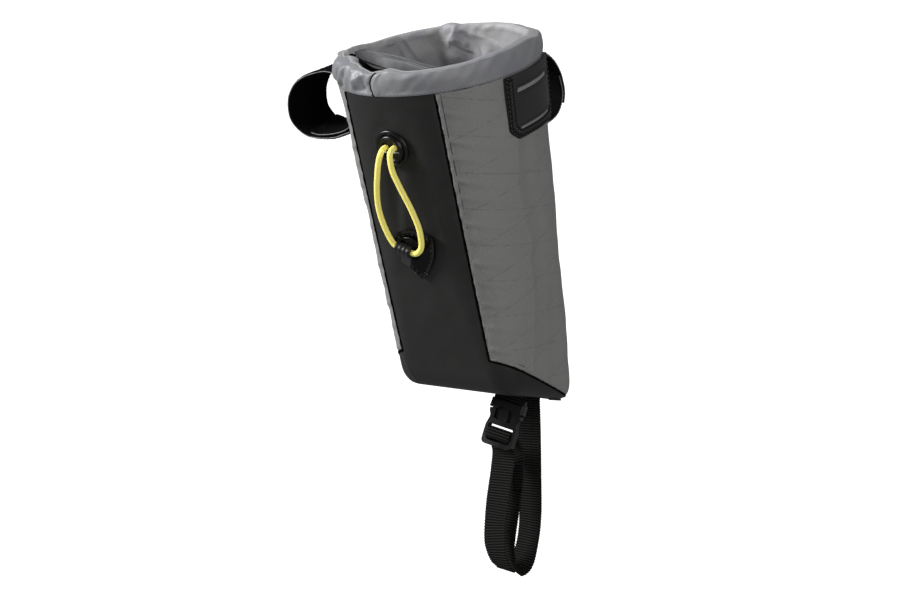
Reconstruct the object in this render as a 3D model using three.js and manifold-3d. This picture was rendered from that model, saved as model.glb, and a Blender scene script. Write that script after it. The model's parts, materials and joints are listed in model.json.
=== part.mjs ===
// A handlebar food pouch: a tapered fabric body with a rolled collar, two hook-and-loop loops that
// hold it to a handlebar and a stem, and a buckled webbing loop under its base. Millimetres, +Z up
// along the pouch, the black front panel faces -Y. The origin is the middle of the back strap's loop,
// where the handlebar lies along X.
import * as THREE from "three";
import { mergeVertices } from "three/addons/utils/BufferGeometryUtils.js";
import Module from "manifold-3d";

// Driving dimensions of the pouch body
const mouthWidth = 105;
const mouthDepth = 105;
const mouthCorner = 52.4;
const baseWidth = 74;
const baseDepth = 60;
const baseCorner = 11;
const baseRoundIn = 6.5;
const baseRoundUp = 10;
const frontHeight = 165.7;
const baseSlant = 29;
const baseForward = 4.5;
const panelWall = 1.2;
const frontPanelWidth = 56;
const sideSeamRise = 18.4;
const gap = 0.3;

// Driving dimensions of the collar, the lining and the band inside the mouth
const collarHeight = 13;
const collarBulge = 2.2;
const collarThickness = 4.6;
const liningWall = 1;
const liningSpacing = 0.8;
const liningFold = 5;
const bandHeight = 8.5;
const bandThickness = 1.6;
const bandRise = 1;
const bandSag = 1;

// Driving dimensions of the pull loop and what holds it
const cordDiameter = 3;
const grommetDiameter = 20;
const grommetHeight = 2.4;
const grommetDrop = 27.6;
const cordHoleSpacing = 5.6;
const shieldWidth = 25.5;
const shieldHeight = 28;
const shieldDrop = 72.6;
const shieldThickness = 1.2;
const lockDiameter = 5.6;
const lockLength = 9.6;
const lockTilt = 18.6;
const lockAcross = -3.7;
const lockDrop = 82;
const lockStand = 5.9;
const lockBodyInset = 2.2;
const lockBodyDepth = 5.8;
const lockTabThickness = 1.6;
const tabWidth = 6.5;
const tabLength = 9;

// Driving dimensions of the strap patches and the hook-and-loop straps
const patchWidth = 45;
const patchThickness = 1.3;
const patchChamfer = 5;
const upperSlotDrop = 8.3;
const slotWidth = 31;
const slotHeight = 2.6;
const filledSlotHeight = 4.6;
const slotSpacing = 20;
const lowerSlotFoot = 4.7;
const patchHeight = upperSlotDrop + slotSpacing + lowerSlotFoot;
const rightPatchOffset = 6;
const leftPatchOffset = 4;
const backPatchDrop = 13;
const strapWidth = 25;
const strapThickness = 1.8;
const leftLoopReach = 44;
const leftLoopHeight = 37;
const leftLoopYaw = 19;
const leftLoopSway = 2;
const backLoopReach = 41;
const backLoopHeight = 42;

// Driving dimensions of the webbing loop and its buckle
const webbingWidth = 15;
const webbingThickness = 1.3;
const hangDrop = 96.5;
const hangDepth = 24.3;
const hangSway = 10;
const hangForwardLean = 21.9;
const hangSideLean = 4.7;
const hangAcross = 5;
const hangInset = 15.5;
const buckleForwardLean = 31.5;
const buckleSideLean = 9.4;
const buckleThickness = 4;
const barThickness = 2.4;
const railWidth = 1.8;
const barWidth = 2.5;
const socketLength = 8.2;
const plugLength = 20;
const buckleDrop = 1.9;
const socketBarWidth = 1.3;
const socketBarThickness = 1.8;
const socketFrameThickness = 3.2;
const socketSideWall = 1.2;
const socketFaceWall = 1.1;
const armWidth = 3;
const tongueHalf = 2.2;
const armRoot = 2.6;
const plugCorner = 3;

const rad = THREE.MathUtils.degToRad;
const wasm = await Module();
wasm.setup();

// Colours, roughness and metalness of each kind of material
const finish = {
  laminate: new THREE.MeshStandardMaterial({ color: 0x6a6a68, roughness: 0.7, metalness: 0 }),
  panel: new THREE.MeshStandardMaterial({ color: 0x2d2e2e, roughness: 0.5, metalness: 0 }),
  nylon: new THREE.MeshStandardMaterial({ color: 0x808184, roughness: 0.6, metalness: 0 }),
  rubber: new THREE.MeshStandardMaterial({ color: 0x2b2b2b, roughness: 0.6, metalness: 0 }),
  hook: new THREE.MeshStandardMaterial({ color: 0x0c0c0c, roughness: 0.95, metalness: 0 }),
  webbing: new THREE.MeshStandardMaterial({ color: 0x1a1a1a, roughness: 0.8, metalness: 0 }),
  plastic: new THREE.MeshStandardMaterial({ color: 0x161616, roughness: 0.35, metalness: 0 }),
  elastic: new THREE.MeshStandardMaterial({ color: 0xded57c, roughness: 0.75, metalness: 0 }),
};

const mix = THREE.MathUtils.lerp;

// A closed geometry through rings of points: neighbouring rings are joined, and the first and last
// are fanned to their middles, or joined to each other when the rings go round.
function skin(rings, goesRound = false) {
  const count = rings[0].length;
  const points = rings.flat();
  const triangles = [];
  const steps = goesRound ? rings.length : rings.length - 1;
  for (let i = 0; i < steps; i += 1) {
    const low = i * count;
    const high = ((i + 1) % rings.length) * count;
    for (let j = 0; j < count; j += 1) {
      const next = (j + 1) % count;
      triangles.push(low + j, low + next, high + next, low + j, high + next, high + j);
    }
  }
  if (!goesRound) {
    for (const [ring, offset, last] of [[rings[0], 0, false], [rings.at(-1), points.length - count, true]]) {
      const middle = ring.reduce((sum, p) => sum.add(p), new THREE.Vector3()).divideScalar(count);
      const pole = points.push(middle) - 1;
      for (let j = 0; j < count; j += 1) {
        const next = (j + 1) % count;
        triangles.push(pole, offset + (last ? j : next), offset + (last ? next : j));
      }
    }
  }
  const geometry = new THREE.BufferGeometry().setFromPoints(points);
  geometry.setIndex(triangles);
  return geometry;
}

// A geometry as a manifold-3d solid, and back
function solid(geometry) {
  const bare = geometry.clone();
  bare.deleteAttribute("normal");
  bare.deleteAttribute("uv");
  const merged = mergeVertices(bare, 1e-4);
  return new wasm.Manifold(
    new wasm.Mesh({
      numProp: 3,
      vertProperties: new Float32Array(merged.attributes.position.array),
      triVerts: new Uint32Array(merged.index.array),
    }),
  );
}

// The largest body is kept, without the slivers that a cut can leave
function shape(manifold) {
  const bodies = manifold.decompose();
  const mesh = bodies.reduce((a, b) => (b.volume() > a.volume() ? b : a)).getMesh();
  const geometry = new THREE.BufferGeometry();
  geometry.setAttribute("position", new THREE.BufferAttribute(new Float32Array(mesh.vertProperties), 3));
  geometry.setIndex(Array.from(mesh.triVerts));
  return geometry;
}

// Size of the pouch's section at a share of its height below the mouth
function sectionAt(share) {
  return {
    halfWidth: mix(mouthWidth, baseWidth, share) / 2,
    halfDepth: mix(mouthDepth, baseDepth, share) / 2,
    corner: mix(mouthCorner, baseCorner, share),
    middle: -baseForward * share,
  };
}

// Reach of a rounded rectangle from its middle in the direction turn: 0 is the front, 90 the right
function reachOf(halfWidth, halfDepth, corner, turn) {
  const across = Math.abs(Math.sin(turn));
  const along = Math.abs(Math.cos(turn));
  const reach = Math.min(halfWidth / Math.max(across, 1e-9), halfDepth / Math.max(along, 1e-9));
  const cornerX = halfWidth - corner;
  const cornerY = halfDepth - corner;
  if (across * reach <= cornerX || along * reach <= cornerY) {
    return reach;
  }
  const toCorner = across * cornerX + along * cornerY;
  return toCorner + Math.sqrt(corner ** 2 - cornerX ** 2 - cornerY ** 2 + toCorner ** 2);
}

// How far the wall turns in towards the base at a share of the height
function roundingAt(share) {
  const above = Math.min(((1 - share) * frontHeight) / baseRoundUp, 1);
  return baseRoundIn * (1 - Math.sqrt(1 - (1 - above) ** 2));
}

// A point of the pouch's wall, share down it and inset from its outer face
function wallPoint(share, turn, inset, rise = 0) {
  const { halfWidth, halfDepth, corner, middle } = sectionAt(share);
  const off = inset + roundingAt(share);
  const reach = reachOf(halfWidth - off, halfDepth - off, Math.max(corner - off, 1), turn);
  const x = Math.sin(turn) * reach;
  const y = -Math.cos(turn) * reach;
  const slant = baseSlant * share * ((y + halfDepth) / (2 * halfDepth));
  return new THREE.Vector3(x, y + middle, -frontHeight * share - slant + rise);
}

// Directions round the mouth, closer together near the base's corners
const turns = 48;
function turnsRound(count = turns) {
  return Array.from({ length: count }, (_, i) => {
    const even = (i / count) * 2 * Math.PI;
    return even + 0.1 * Math.sin(4 * even);
  });
}

function wallRing(share, inset, rise = 0) {
  return turnsRound().map((turn) => wallPoint(share, turn, inset, rise));
}

// The panels are one cup-shaped shell, parted along the front seams and the slanted seams over the base
const shares = [0, 0.17, 0.4, 0.65, 0.86, 0.945, 0.98, 0.995, 1];
const shell = solid(
  skin([
    ...shares.map((share) => wallRing(share, 0)).reverse(),
    ...shares.map((share) => wallRing(share, panelWall, share * panelWall)),
  ]),
);

function seamCutter(grow) {
  const reach = mouthDepth;
  const front = new THREE.BoxGeometry(frontPanelWidth + 2 * grow, reach, 3 * frontHeight);
  front.translate(0, -reach / 2, -frontHeight);
  const corner = [sectionAt(1).middle - baseDepth / 2, -frontHeight + sideSeamRise];
  const back = [sectionAt(1).middle + baseDepth / 2, -frontHeight - baseSlant];
  const slope = (back[1] - corner[1]) / (back[0] - corner[0]);
  const lift = grow * Math.hypot(1, slope);
  const line = (y) => corner[1] + slope * (y - corner[0]) + lift;
  const outline = new THREE.Shape();
  outline.moveTo(-reach, line(-reach));
  outline.lineTo(reach, line(reach));
  outline.lineTo(reach, -3 * frontHeight);
  outline.lineTo(-reach, -3 * frontHeight);
  const under = new THREE.ExtrudeGeometry(outline, { depth: 2 * mouthWidth, bevelEnabled: false });
  // The outline's own x and y become Y and Z
  under.translate(0, 0, -mouthWidth);
  under.applyMatrix4(new THREE.Matrix4().set(0, 0, 1, 0, 1, 0, 0, 0, 0, 1, 0, 0, 0, 0, 0, 1));
  return solid(front).add(solid(under));
}

const frontPanel = shell.intersect(seamCutter(0));
const sidePanels = shell.subtract(seamCutter(gap));

// Collar height, bulge and thickness round the mouth, as shares of their named sizes
const collarRows = [
  { turn: 0, height: 1.08, bulge: 0.6, thickness: 1.0 },
  { turn: 18, height: 0.9, bulge: 0.55, thickness: 0.95 },
  { turn: 45, height: 0.91, bulge: 0.6, thickness: 0.9 },
  { turn: 70, height: 1.0, bulge: 0.45, thickness: 0.9 },
  { turn: 95, height: 1.02, bulge: 0.3, thickness: 0.95 },
  { turn: 120, height: 0.8, bulge: 0.4, thickness: 0.85 },
  { turn: 150, height: 0.6, bulge: 0.6, thickness: 0.75 },
  { turn: 200, height: 0.62, bulge: 0.6, thickness: 0.7 },
  { turn: 208, height: 0.72, bulge: 0.6, thickness: 0.9 },
  { turn: 216, height: 0.62, bulge: 0.6, thickness: 0.7 },
  { turn: 255, height: 0.64, bulge: 0.3, thickness: 0.85 },
  { turn: 280, height: 0.86, bulge: 0.15, thickness: 1.1 },
  { turn: 293, height: 0.98, bulge: 0.4, thickness: 1.35 },
  { turn: 303, height: 0.92, bulge: 0.1, thickness: 1.15 },
  { turn: 314, height: 1.06, bulge: 0.7, thickness: 1.35 },
  { turn: 325, height: 1.0, bulge: 0.4, thickness: 1.15 },
  { turn: 336, height: 1.12, bulge: 0.9, thickness: 1.3 },
  { turn: 347, height: 1.08, bulge: 0.5, thickness: 1.05 },
];

// A column of a table at a turn in degrees, eased between its rows and going round
function eased(rows, column, turn) {
  const at = ((turn % 360) + 360) % 360;
  const after = rows.findIndex((row) => row.turn > at);
  const next = after < 0 ? rows[0] : rows[after];
  const last = after === 0 ? rows.at(-1) : rows[(after < 0 ? rows.length : after) - 1];
  const span = (next.turn - last.turn + 360) % 360;
  const share = ((at - last.turn + 360) % 360) / span;
  return mix(last[column], next[column], 0.5 - 0.5 * Math.cos(Math.PI * share));
}

// The collar's section: out is a share of its bulge or, where negative, of its thickness
const collarSection = [
  { out: -0.62, up: 0 },
  { out: 0.15, up: 0 },
  { out: 0.8, up: 0.24 },
  { out: 1, up: 0.54 },
  { out: 0.5, up: 0.84 },
  { out: -0.3, up: 1 },
  { out: -0.75, up: 0.95 },
  { out: -1, up: 0.7 },
  { out: -0.92, up: 0.32 },
];

const collarTurns = 80;
const collarRings = Array.from({ length: collarTurns }, (_, i) => {
  const degrees = (i / collarTurns) * 360;
  const height = collarHeight * eased(collarRows, "height", degrees) - gap;
  const bulge = collarBulge * eased(collarRows, "bulge", degrees);
  const thickness = collarThickness * eased(collarRows, "thickness", degrees);
  return collarSection.map(({ out, up }) => {
    const inset = out > 0 ? -out * bulge : -out * thickness;
    return wallPoint(0, rad(degrees), inset, gap + up * height);
  });
});
const collar = skin(collarRings.reverse(), true);

// The lining's folds: where they run, how wide they are and how far they stand inwards, as shares
const foldRows = [
  { turn: 208, width: 9, depth: 1.0, low: 0.16 },
  { turn: 186, width: 8, depth: 0.45, low: 0.22 },
  { turn: 158, width: 10, depth: 0.6, low: 0.12 },
  { turn: 238, width: 11, depth: 0.5, low: 0.14 },
];

function foldAt(degrees, share) {
  return foldRows.reduce((sum, fold) => {
    const off = (degrees - fold.turn) / fold.width;
    const fade = Math.max(0, 1 - share / fold.low);
    return sum + liningFold * fold.depth * Math.exp(-off * off) * fade;
  }, 0);
}

const liningInset = panelWall + liningSpacing;
function liningRing(share, wall) {
  return turnsRound().map((turn) => {
    const inset = liningInset + wall + foldAt(THREE.MathUtils.radToDeg(turn), share);
    return wallPoint(share, turn, inset, share * (liningInset + wall));
  });
}
const liningShares = [0, 0.04, 0.09, 0.17, 0.4, 0.65, 0.945, 0.98, 1];
const lining = skin([
  ...liningShares.map((share) => liningRing(share, 0)).reverse(),
  ...liningShares.map((share) => liningRing(share, liningWall)),
]);

// The band crosses the mouth from the collar's left end to its right front, sagging a little
const bandEnds = [
  { turn: 271, inset: 1.04 * collarThickness + gap },
  { turn: 415, inset: 0.94 * collarThickness + gap },
];
function bandPoint(share, side, rise) {
  const [from, to] = bandEnds.map(({ turn, inset }) => wallPoint(0, rad(turn), inset));
  const run = new THREE.Vector3().subVectors(to, from);
  const inward = new THREE.Vector3(-run.y, run.x, 0).normalize();
  const point = from.clone().addScaledVector(run, share);
  const bow = bandSag * Math.sin(Math.PI * share) + side * bandThickness;
  return point.addScaledVector(inward, bow).setZ(bandRise + rise * bandHeight - 2.5 * share);
}
const bandSteps = 8;
const band = skin(
  Array.from({ length: bandSteps + 1 }, (_, i) => {
    const share = i / bandSteps;
    return [
      bandPoint(share, -0.5, 0),
      bandPoint(share, 0.5, 0),
      bandPoint(share, 0.5, 0.8),
      bandPoint(share, 0.2, 1),
      bandPoint(share, -0.5, 1),
    ];
  }),
);

// Faces of the pouch: outward and sideways directions of its four sides
const faces = {
  front: { out: new THREE.Vector3(0, -1, 0), side: new THREE.Vector3(1, 0, 0) },
  right: { out: new THREE.Vector3(1, 0, 0), side: new THREE.Vector3(0, 1, 0) },
  back: { out: new THREE.Vector3(0, 1, 0), side: new THREE.Vector3(-1, 0, 0) },
  left: { out: new THREE.Vector3(-1, 0, 0), side: new THREE.Vector3(0, -1, 0) },
};

// A point on a face of the pouch, off its outer wall by stand, at a sideways place and a height
function facePoint(name, sideways, height, stand) {
  const { out, side } = faces[name];
  const facesX = Math.abs(out.x) > 0;
  let share = -height / frontHeight;
  let point;
  for (let pass = 0; pass < 5; pass += 1) {
    const { halfWidth, halfDepth, corner, middle } = sectionAt(share);
    const half = facesX ? halfWidth : halfDepth;
    const flat = (facesX ? halfDepth : halfWidth) - corner;
    const shift = facesX ? middle * Math.sign(side.y) : 0;
    const beyond = Math.max(Math.abs(sideways - shift) - flat, 0) * Math.sign(sideways - shift);
    const lean = Math.asin(THREE.MathUtils.clamp(beyond / corner, -1, 1));
    const depth = half - corner + (corner + stand) * Math.cos(lean);
    const across = sideways + stand * Math.sin(lean);
    point = new THREE.Vector3().addScaledVector(out, depth).addScaledVector(side, across);
    point.y += facesX ? 0 : middle;
    point.z = height;
    const slant = baseSlant * ((point.y - middle + halfDepth) / (2 * halfDepth));
    share = -height / (frontHeight + slant);
  }
  return point;
}

// A sheet on a face: a grid between two heights, bulging off the wall where a strap runs behind it
function sheet(face, { width, height, top, offset, thickness, lift, columns, rows }) {
  const bulge = (share) => lift * Math.min(1, 6 * Math.min(share, 1 - share)) ** 2;
  const edge = (stand) => {
    const grid = [];
    for (let i = 0; i <= rows; i += 1) {
      for (let j = 0; j <= columns; j += 1) {
        const share = j / columns;
        const sideways = offset + (share - 0.5) * width;
        const off = gap + bulge(share) + stand;
        grid.push(facePoint(face, sideways, top - (i / rows) * height, off));
      }
    }
    return grid;
  };
  const points = [...edge(thickness), ...edge(0)];
  const count = points.length / 2;
  const triangles = [];
  const quad = (a, b, c, d) => triangles.push(a, b, c, a, c, d);
  const at = (i, j) => i * (columns + 1) + j;
  for (let i = 0; i < rows; i += 1) {
    for (let j = 0; j < columns; j += 1) {
      quad(at(i, j), at(i + 1, j), at(i + 1, j + 1), at(i, j + 1));
      quad(count + at(i, j), count + at(i, j + 1), count + at(i + 1, j + 1), count + at(i + 1, j));
    }
    quad(at(i + 1, 0), at(i, 0), count + at(i, 0), count + at(i + 1, 0));
    quad(at(i, columns), at(i + 1, columns), count + at(i + 1, columns), count + at(i, columns));
  }
  for (let j = 0; j < columns; j += 1) {
    quad(at(0, j), at(0, j + 1), count + at(0, j + 1), count + at(0, j));
    quad(at(rows, j + 1), at(rows, j), count + at(rows, j), count + at(rows, j + 1));
  }
  const geometry = new THREE.BufferGeometry().setFromPoints(points);
  geometry.setIndex(triangles);
  return geometry;
}

// An outline drawn sideways and upwards on a face, as a prism that reaches through the wall there
function throughFace(face, outline) {
  const { out, side } = faces[face];
  const deep = mouthWidth;
  const prism = new THREE.ExtrudeGeometry(outline, { depth: deep, bevelEnabled: false, curveSegments: 6 });
  const up = new THREE.Vector3(0, 0, 1);
  prism.applyMatrix4(new THREE.Matrix4().makeBasis(side, up, out));
  return solid(prism);
}

function roundedBar(middleX, middleY, width, height) {
  const bar = new THREE.Shape();
  const radius = height / 2;
  const half = width / 2 - radius;
  bar.absarc(middleX + half, middleY, radius, -Math.PI / 2, Math.PI / 2, false);
  bar.absarc(middleX - half, middleY, radius, Math.PI / 2, Math.PI * 1.5, false);
  return bar;
}

const patchTop = -0.4;
const slotHeights = [patchTop - upperSlotDrop, patchTop - upperSlotDrop - slotSpacing];

// A strap patch with chamfered lower corners and two slots, lifted where the strap passes behind it
function strapPatch(face, offset, drop, lift, slot) {
  const top = patchTop - drop;
  const blank = sheet(face, {
    width: patchWidth,
    height: patchHeight,
    top,
    offset,
    thickness: patchThickness,
    lift,
    columns: 12,
    rows: 1,
  });
  const half = patchWidth / 2;
  const bottom = top - patchHeight;
  const outline = new THREE.Shape();
  outline.moveTo(offset - half - 5, top + 1);
  outline.lineTo(offset - half - 5, bottom + patchChamfer + 5);
  outline.lineTo(offset - half, bottom + patchChamfer);
  outline.lineTo(offset - half + patchChamfer, bottom - 0.05);
  outline.lineTo(offset + half - patchChamfer, bottom - 0.05);
  outline.lineTo(offset + half, bottom + patchChamfer);
  outline.lineTo(offset + half + 5, bottom + patchChamfer + 5);
  outline.lineTo(offset + half + 5, top + 1);
  const trimmed = solid(blank).intersect(throughFace(face, outline));
  return slotHeights.reduce(
    (patch, height) => patch.subtract(throughFace(face, roundedBar(offset, height - drop, slotWidth, slot))),
    trimmed,
  );
}

const strapLift = strapThickness + 3 * gap;
const patches = {
  right_patch: strapPatch("right", rightPatchOffset, 0, 0, slotHeight),
  left_patch: strapPatch("left", -leftPatchOffset, 0, strapLift, filledSlotHeight),
  back_patch: strapPatch("back", 0, backPatchDrop, strapLift, filledSlotHeight),
};

// A ribbon along a route: its width runs across, and its edges bow towards its face direction
function ribbon(route, width, thickness) {
  const rings = route.map(({ at, across, face, bow }) => {
    const corner = (sideways, outward) =>
      at
        .clone()
        .addScaledVector(across, (sideways * width) / 2)
        .addScaledVector(face, (outward * thickness) / 2 + bow * sideways ** 2);
    return [corner(-1, -1), corner(0, -1), corner(1, -1), corner(1, 1), corner(0, 1), corner(-1, 1)];
  });
  return skin(rings);
}

// A smooth route through chosen points, with its width direction and its bow eased between them
function routeOf(points, perSpan) {
  const curve = new THREE.CatmullRomCurve3(points.map((p) => p.at), false, "centripetal");
  const last = points.length - 1;
  const places = points.slice(0, last).flatMap(({ steps = perSpan }, i) =>
    Array.from({ length: steps }, (_, k) => i + k / steps),
  );
  return [...places, last].map((place) => {
    const low = Math.min(Math.floor(place), last - 1);
    const share = place - low;
    const tangent = curve.getTangent(place / last);
    const across = points[low].across.clone().lerp(points[low + 1].across, share);
    across.addScaledVector(tangent, -across.dot(tangent)).normalize();
    const face = new THREE.Vector3().crossVectors(tangent, across).normalize();
    const bow = mix(points[low].bow ?? 0, points[low + 1].bow ?? 0, share);
    return { at: curve.getPoint(place / last), across, face, bow };
  });
}

// The free arc of a strap loop, from its upper slot to its lower one: out is a share of the loop's
// reach and up is a share of its height
const arcRows = [
  { out: 0.22, up: 0.4 },
  { out: 0.38, up: 0.45 },
  { out: 0.6, up: 0.4 },
  { out: 0.76, up: 0.315 },
  { out: 0.885, up: 0.19 },
  { out: 0.98, up: -0.005 },
  { out: 1, up: -0.245 },
  { out: 0.945, up: -0.37 },
  { out: 0.83, up: -0.485 },
  { out: 0.66, up: -0.54 },
  { out: 0.43, up: -0.535 },
  { out: 0.22, up: -0.46 },
];

// The strap's way from behind its patch out through a slot: stand off the wall, and up from the
// middle between the slots
const passRows = [
  { stand: 2 * gap + 0.5 * strapThickness, up: 0.5 * slotSpacing - 4.6 },
  { stand: 2 * gap + 0.7 * strapThickness, up: 0.5 * slotSpacing - 1.9 },
  { stand: 2 * gap + 1.6 * strapThickness, up: 0.5 * slotSpacing - 0.3 },
  { stand: 2 * gap + 2.8 * strapThickness, up: 0.5 * slotSpacing + 0.7 },
];

// A hook-and-loop strap: it runs behind its patch, out through both slots and round its loop, where
// its inner end lies inside its outer end over the arc rows from innerFrom to outerTo
function strapLoop({ face, offset, drop, reach, height, yaw, sway, innerFrom, outerTo }) {
  const { out, side } = faces[face];
  const middle = (slotHeights[0] + slotHeights[1]) / 2 - drop;
  const foot = facePoint(face, offset, middle, 0);
  const heart = { stand: 0.52 * reach, up: -0.05 * height };
  const inward = ({ stand, up }) => {
    const far = Math.hypot(stand - heart.stand, up - heart.up);
    const share = (far - strapThickness - gap) / far;
    return { stand: mix(heart.stand, stand, share), up: mix(heart.up, up, share) };
  };
  const free = ({ stand, up }) => ({
    at: foot
      .clone()
      .addScaledVector(out, stand)
      .addScaledVector(side, (sway * stand) / reach)
      .setZ(middle + up),
    across: side.clone().applyAxisAngle(new THREE.Vector3(0, 0, 1), rad((yaw * stand) / reach)),
  });
  const held = ({ stand, up }) => {
    const [before, at, after] = [-1, 0, 1].map((share) =>
      facePoint(face, offset + (share * strapWidth) / 2, middle + up, stand),
    );
    const across = new THREE.Vector3().subVectors(after, before).setZ(0).normalize();
    const bow = at.dot(out) - (before.dot(out) + after.dot(out)) / 2;
    return { at, across, bow, steps: 1 };
  };
  const arc = arcRows.map((row) => ({ stand: row.out * reach, up: row.up * height }));
  const points = [
    ...arc.slice(innerFrom).map(inward).map(free),
    ...passRows.map(({ stand, up }) => held({ stand, up: -up })).reverse(),
    ...passRows.map(held),
    ...arc.slice(0, outerTo + 1).map(free),
  ];
  return { geometry: ribbon(routeOf(points, 2), strapWidth, strapThickness), heart: free(heart).at };
}

const leftStrap = strapLoop({
  face: "left",
  offset: -leftPatchOffset,
  drop: 0,
  reach: leftLoopReach,
  height: leftLoopHeight,
  yaw: -leftLoopYaw,
  sway: leftLoopSway,
  innerFrom: 8,
  outerTo: 11,
});
const backStrap = strapLoop({
  face: "back",
  offset: 0,
  drop: backPatchDrop,
  reach: backLoopReach,
  height: backLoopHeight,
  yaw: 0,
  sway: 0,
  innerFrom: 5,
  outerTo: 7,
});

// Grommet: stepped rings on the front panel, cut to the panel's curve, with two cord holes
function placed(geometry, origin, x, y, z) {
  return geometry.applyMatrix4(new THREE.Matrix4().makeBasis(x, y, z).setPosition(origin));
}

const frontSlope = (mouthDepth / 2 - baseDepth / 2 - baseForward) / frontHeight;
const frontOut = new THREE.Vector3(0, -1, -frontSlope).normalize();
const frontDown = new THREE.Vector3(0, frontSlope, -1).normalize();
const right = new THREE.Vector3(1, 0, 0);
const grommetRings = [
  { out: 0, up: -0.7 },
  { out: 1, up: -0.7 },
  { out: 1, up: 0.35 },
  { out: 0.93, up: 0.6 },
  { out: 0.77, up: 0.6 },
  { out: 0.68, up: 0.92 },
  { out: 0.58, up: 1 },
  { out: 0.5, up: 0.8 },
  { out: 0, up: 0.75 },
];
const core = solid(skin(shares.map((share) => wallRing(share, -gap)).reverse()));
const grommetPlace = facePoint("front", 0, -grommetDrop, 0);
const grommetBlank = solid(
  placed(
    new THREE.LatheGeometry(
      grommetRings.map(({ out, up }) => new THREE.Vector2((out * grommetDiameter) / 2, up * grommetHeight)),
      24,
    ),
    grommetPlace,
    right,
    frontOut,
    frontDown,
  ),
);
const cordHoleRadius = cordDiameter / 2 + gap;
const grommet = [-1, 1].reduce((ring, side) => {
  const hole = new THREE.CylinderGeometry(cordHoleRadius, cordHoleRadius, 6 * grommetHeight, 10);
  const at = grommetPlace.clone().addScaledVector(right, (side * cordHoleSpacing) / 2).addScaledVector(frontDown, -0.8);
  return ring.subtract(solid(placed(hole, at, right, frontOut, frontDown)));
}, grommetBlank.subtract(core));

// Shield patch under the lock: an arched top edge and sides that curve to a point
const shieldOutline = new THREE.Shape();
shieldOutline.moveTo(-shieldWidth / 2, -shieldDrop - 0.12 * shieldHeight);
shieldOutline.quadraticCurveTo(0, -shieldDrop + 0.12 * shieldHeight, shieldWidth / 2, -shieldDrop - 0.12 * shieldHeight);
shieldOutline.quadraticCurveTo(0.5 * shieldWidth, -shieldDrop - 0.6 * shieldHeight, 0, -shieldDrop - shieldHeight);
shieldOutline.quadraticCurveTo(-0.5 * shieldWidth, -shieldDrop - 0.6 * shieldHeight, -shieldWidth / 2, -shieldDrop - 0.12 * shieldHeight);
const shieldSheet = (thickness) =>
  solid(
    sheet("front", {
      width: shieldWidth + 4,
      height: shieldHeight + 4,
      top: -shieldDrop + 2,
      offset: 0,
      thickness,
      lift: 0,
      columns: 6,
      rows: 1,
    }),
  );
const shield = shieldSheet(shieldThickness).intersect(throughFace("front", shieldOutline));

// Cord lock: a ribbed barrel that the cord runs through, the body behind it and its thumb tab
const lockPlace = facePoint("front", 0, -lockDrop, lockStand).setX(lockAcross);
const lockAxis = new THREE.Vector3(Math.cos(rad(lockTilt)), 0, -Math.sin(rad(lockTilt)));
const lockUp = new THREE.Vector3(Math.sin(rad(lockTilt)), 0, Math.cos(rad(lockTilt)));
const forward = new THREE.Vector3(0, -1, 0);
const barrelRings = [
  { along: -0.5, out: 0.8 },
  { along: -0.42, out: 0.96 },
  { along: -0.3, out: 1 },
  { along: -0.2, out: 1 },
  { along: -0.17, out: 0.92 },
  { along: -0.08, out: 0.92 },
  { along: -0.05, out: 1 },
  { along: 0.08, out: 1 },
  { along: 0.11, out: 0.92 },
  { along: 0.2, out: 0.92 },
  { along: 0.23, out: 1 },
  { along: 0.42, out: 0.96 },
  { along: 0.5, out: 0.8 },
];
const lockBar = (radiusShare) => [
  new THREE.Vector2(0, -0.5 * lockLength),
  ...radiusShare.map(({ along, out }) => new THREE.Vector2((out * lockDiameter) / 2, along * lockLength)),
  new THREE.Vector2(0, 0.5 * lockLength),
];
const barrel = solid(
  placed(new THREE.LatheGeometry(lockBar(barrelRings), 16), lockPlace, forward, lockAxis, lockUp),
);
const boxAt = (width, height, depth, at) =>
  solid(placed(new THREE.BoxGeometry(width, height, depth), at, lockAxis, lockUp, forward));
const bodyMiddle = lockPlace
  .clone()
  .addScaledVector(lockUp, 0.13 * lockLength)
  .addScaledVector(lockAxis, lockLength / 6)
  .addScaledVector(forward, -lockBodyInset - lockBodyDepth / 2);
const oval = new THREE.CylinderGeometry(1, 1, lockBodyDepth, 18);
oval.scale(0.72 * lockLength, 1, 0.9 * lockDiameter);
const lockBody = solid(
  placed(oval, bodyMiddle, lockAxis, forward, lockUp.clone().negate()),
);
const bridge = boxAt(
  0.7 * lockLength,
  0.8 * lockDiameter,
  0.52 * lockBodyDepth,
  lockPlace.clone().addScaledVector(forward, -lockBodyInset),
);
const lockTab = boxAt(
  tabWidth,
  tabLength,
  lockTabThickness,
  lockPlace
    .clone()
    .addScaledVector(lockUp, -tabLength / 2)
    .addScaledVector(lockAxis, -lockLength / 8)
    .addScaledVector(forward, -lockBodyInset),
);
const bore = solid(
  placed(
    new THREE.CylinderGeometry(cordHoleRadius, cordHoleRadius, 3 * lockLength, 12),
    lockPlace,
    forward,
    lockAxis,
    lockUp,
  ),
);
const lock = [shieldSheet(shieldThickness + gap), core, bore].reduce(
  (rest, cutter) => rest.subtract(cutter),
  barrel.add(lockBody).add(bridge).add(lockTab),
);

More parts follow.
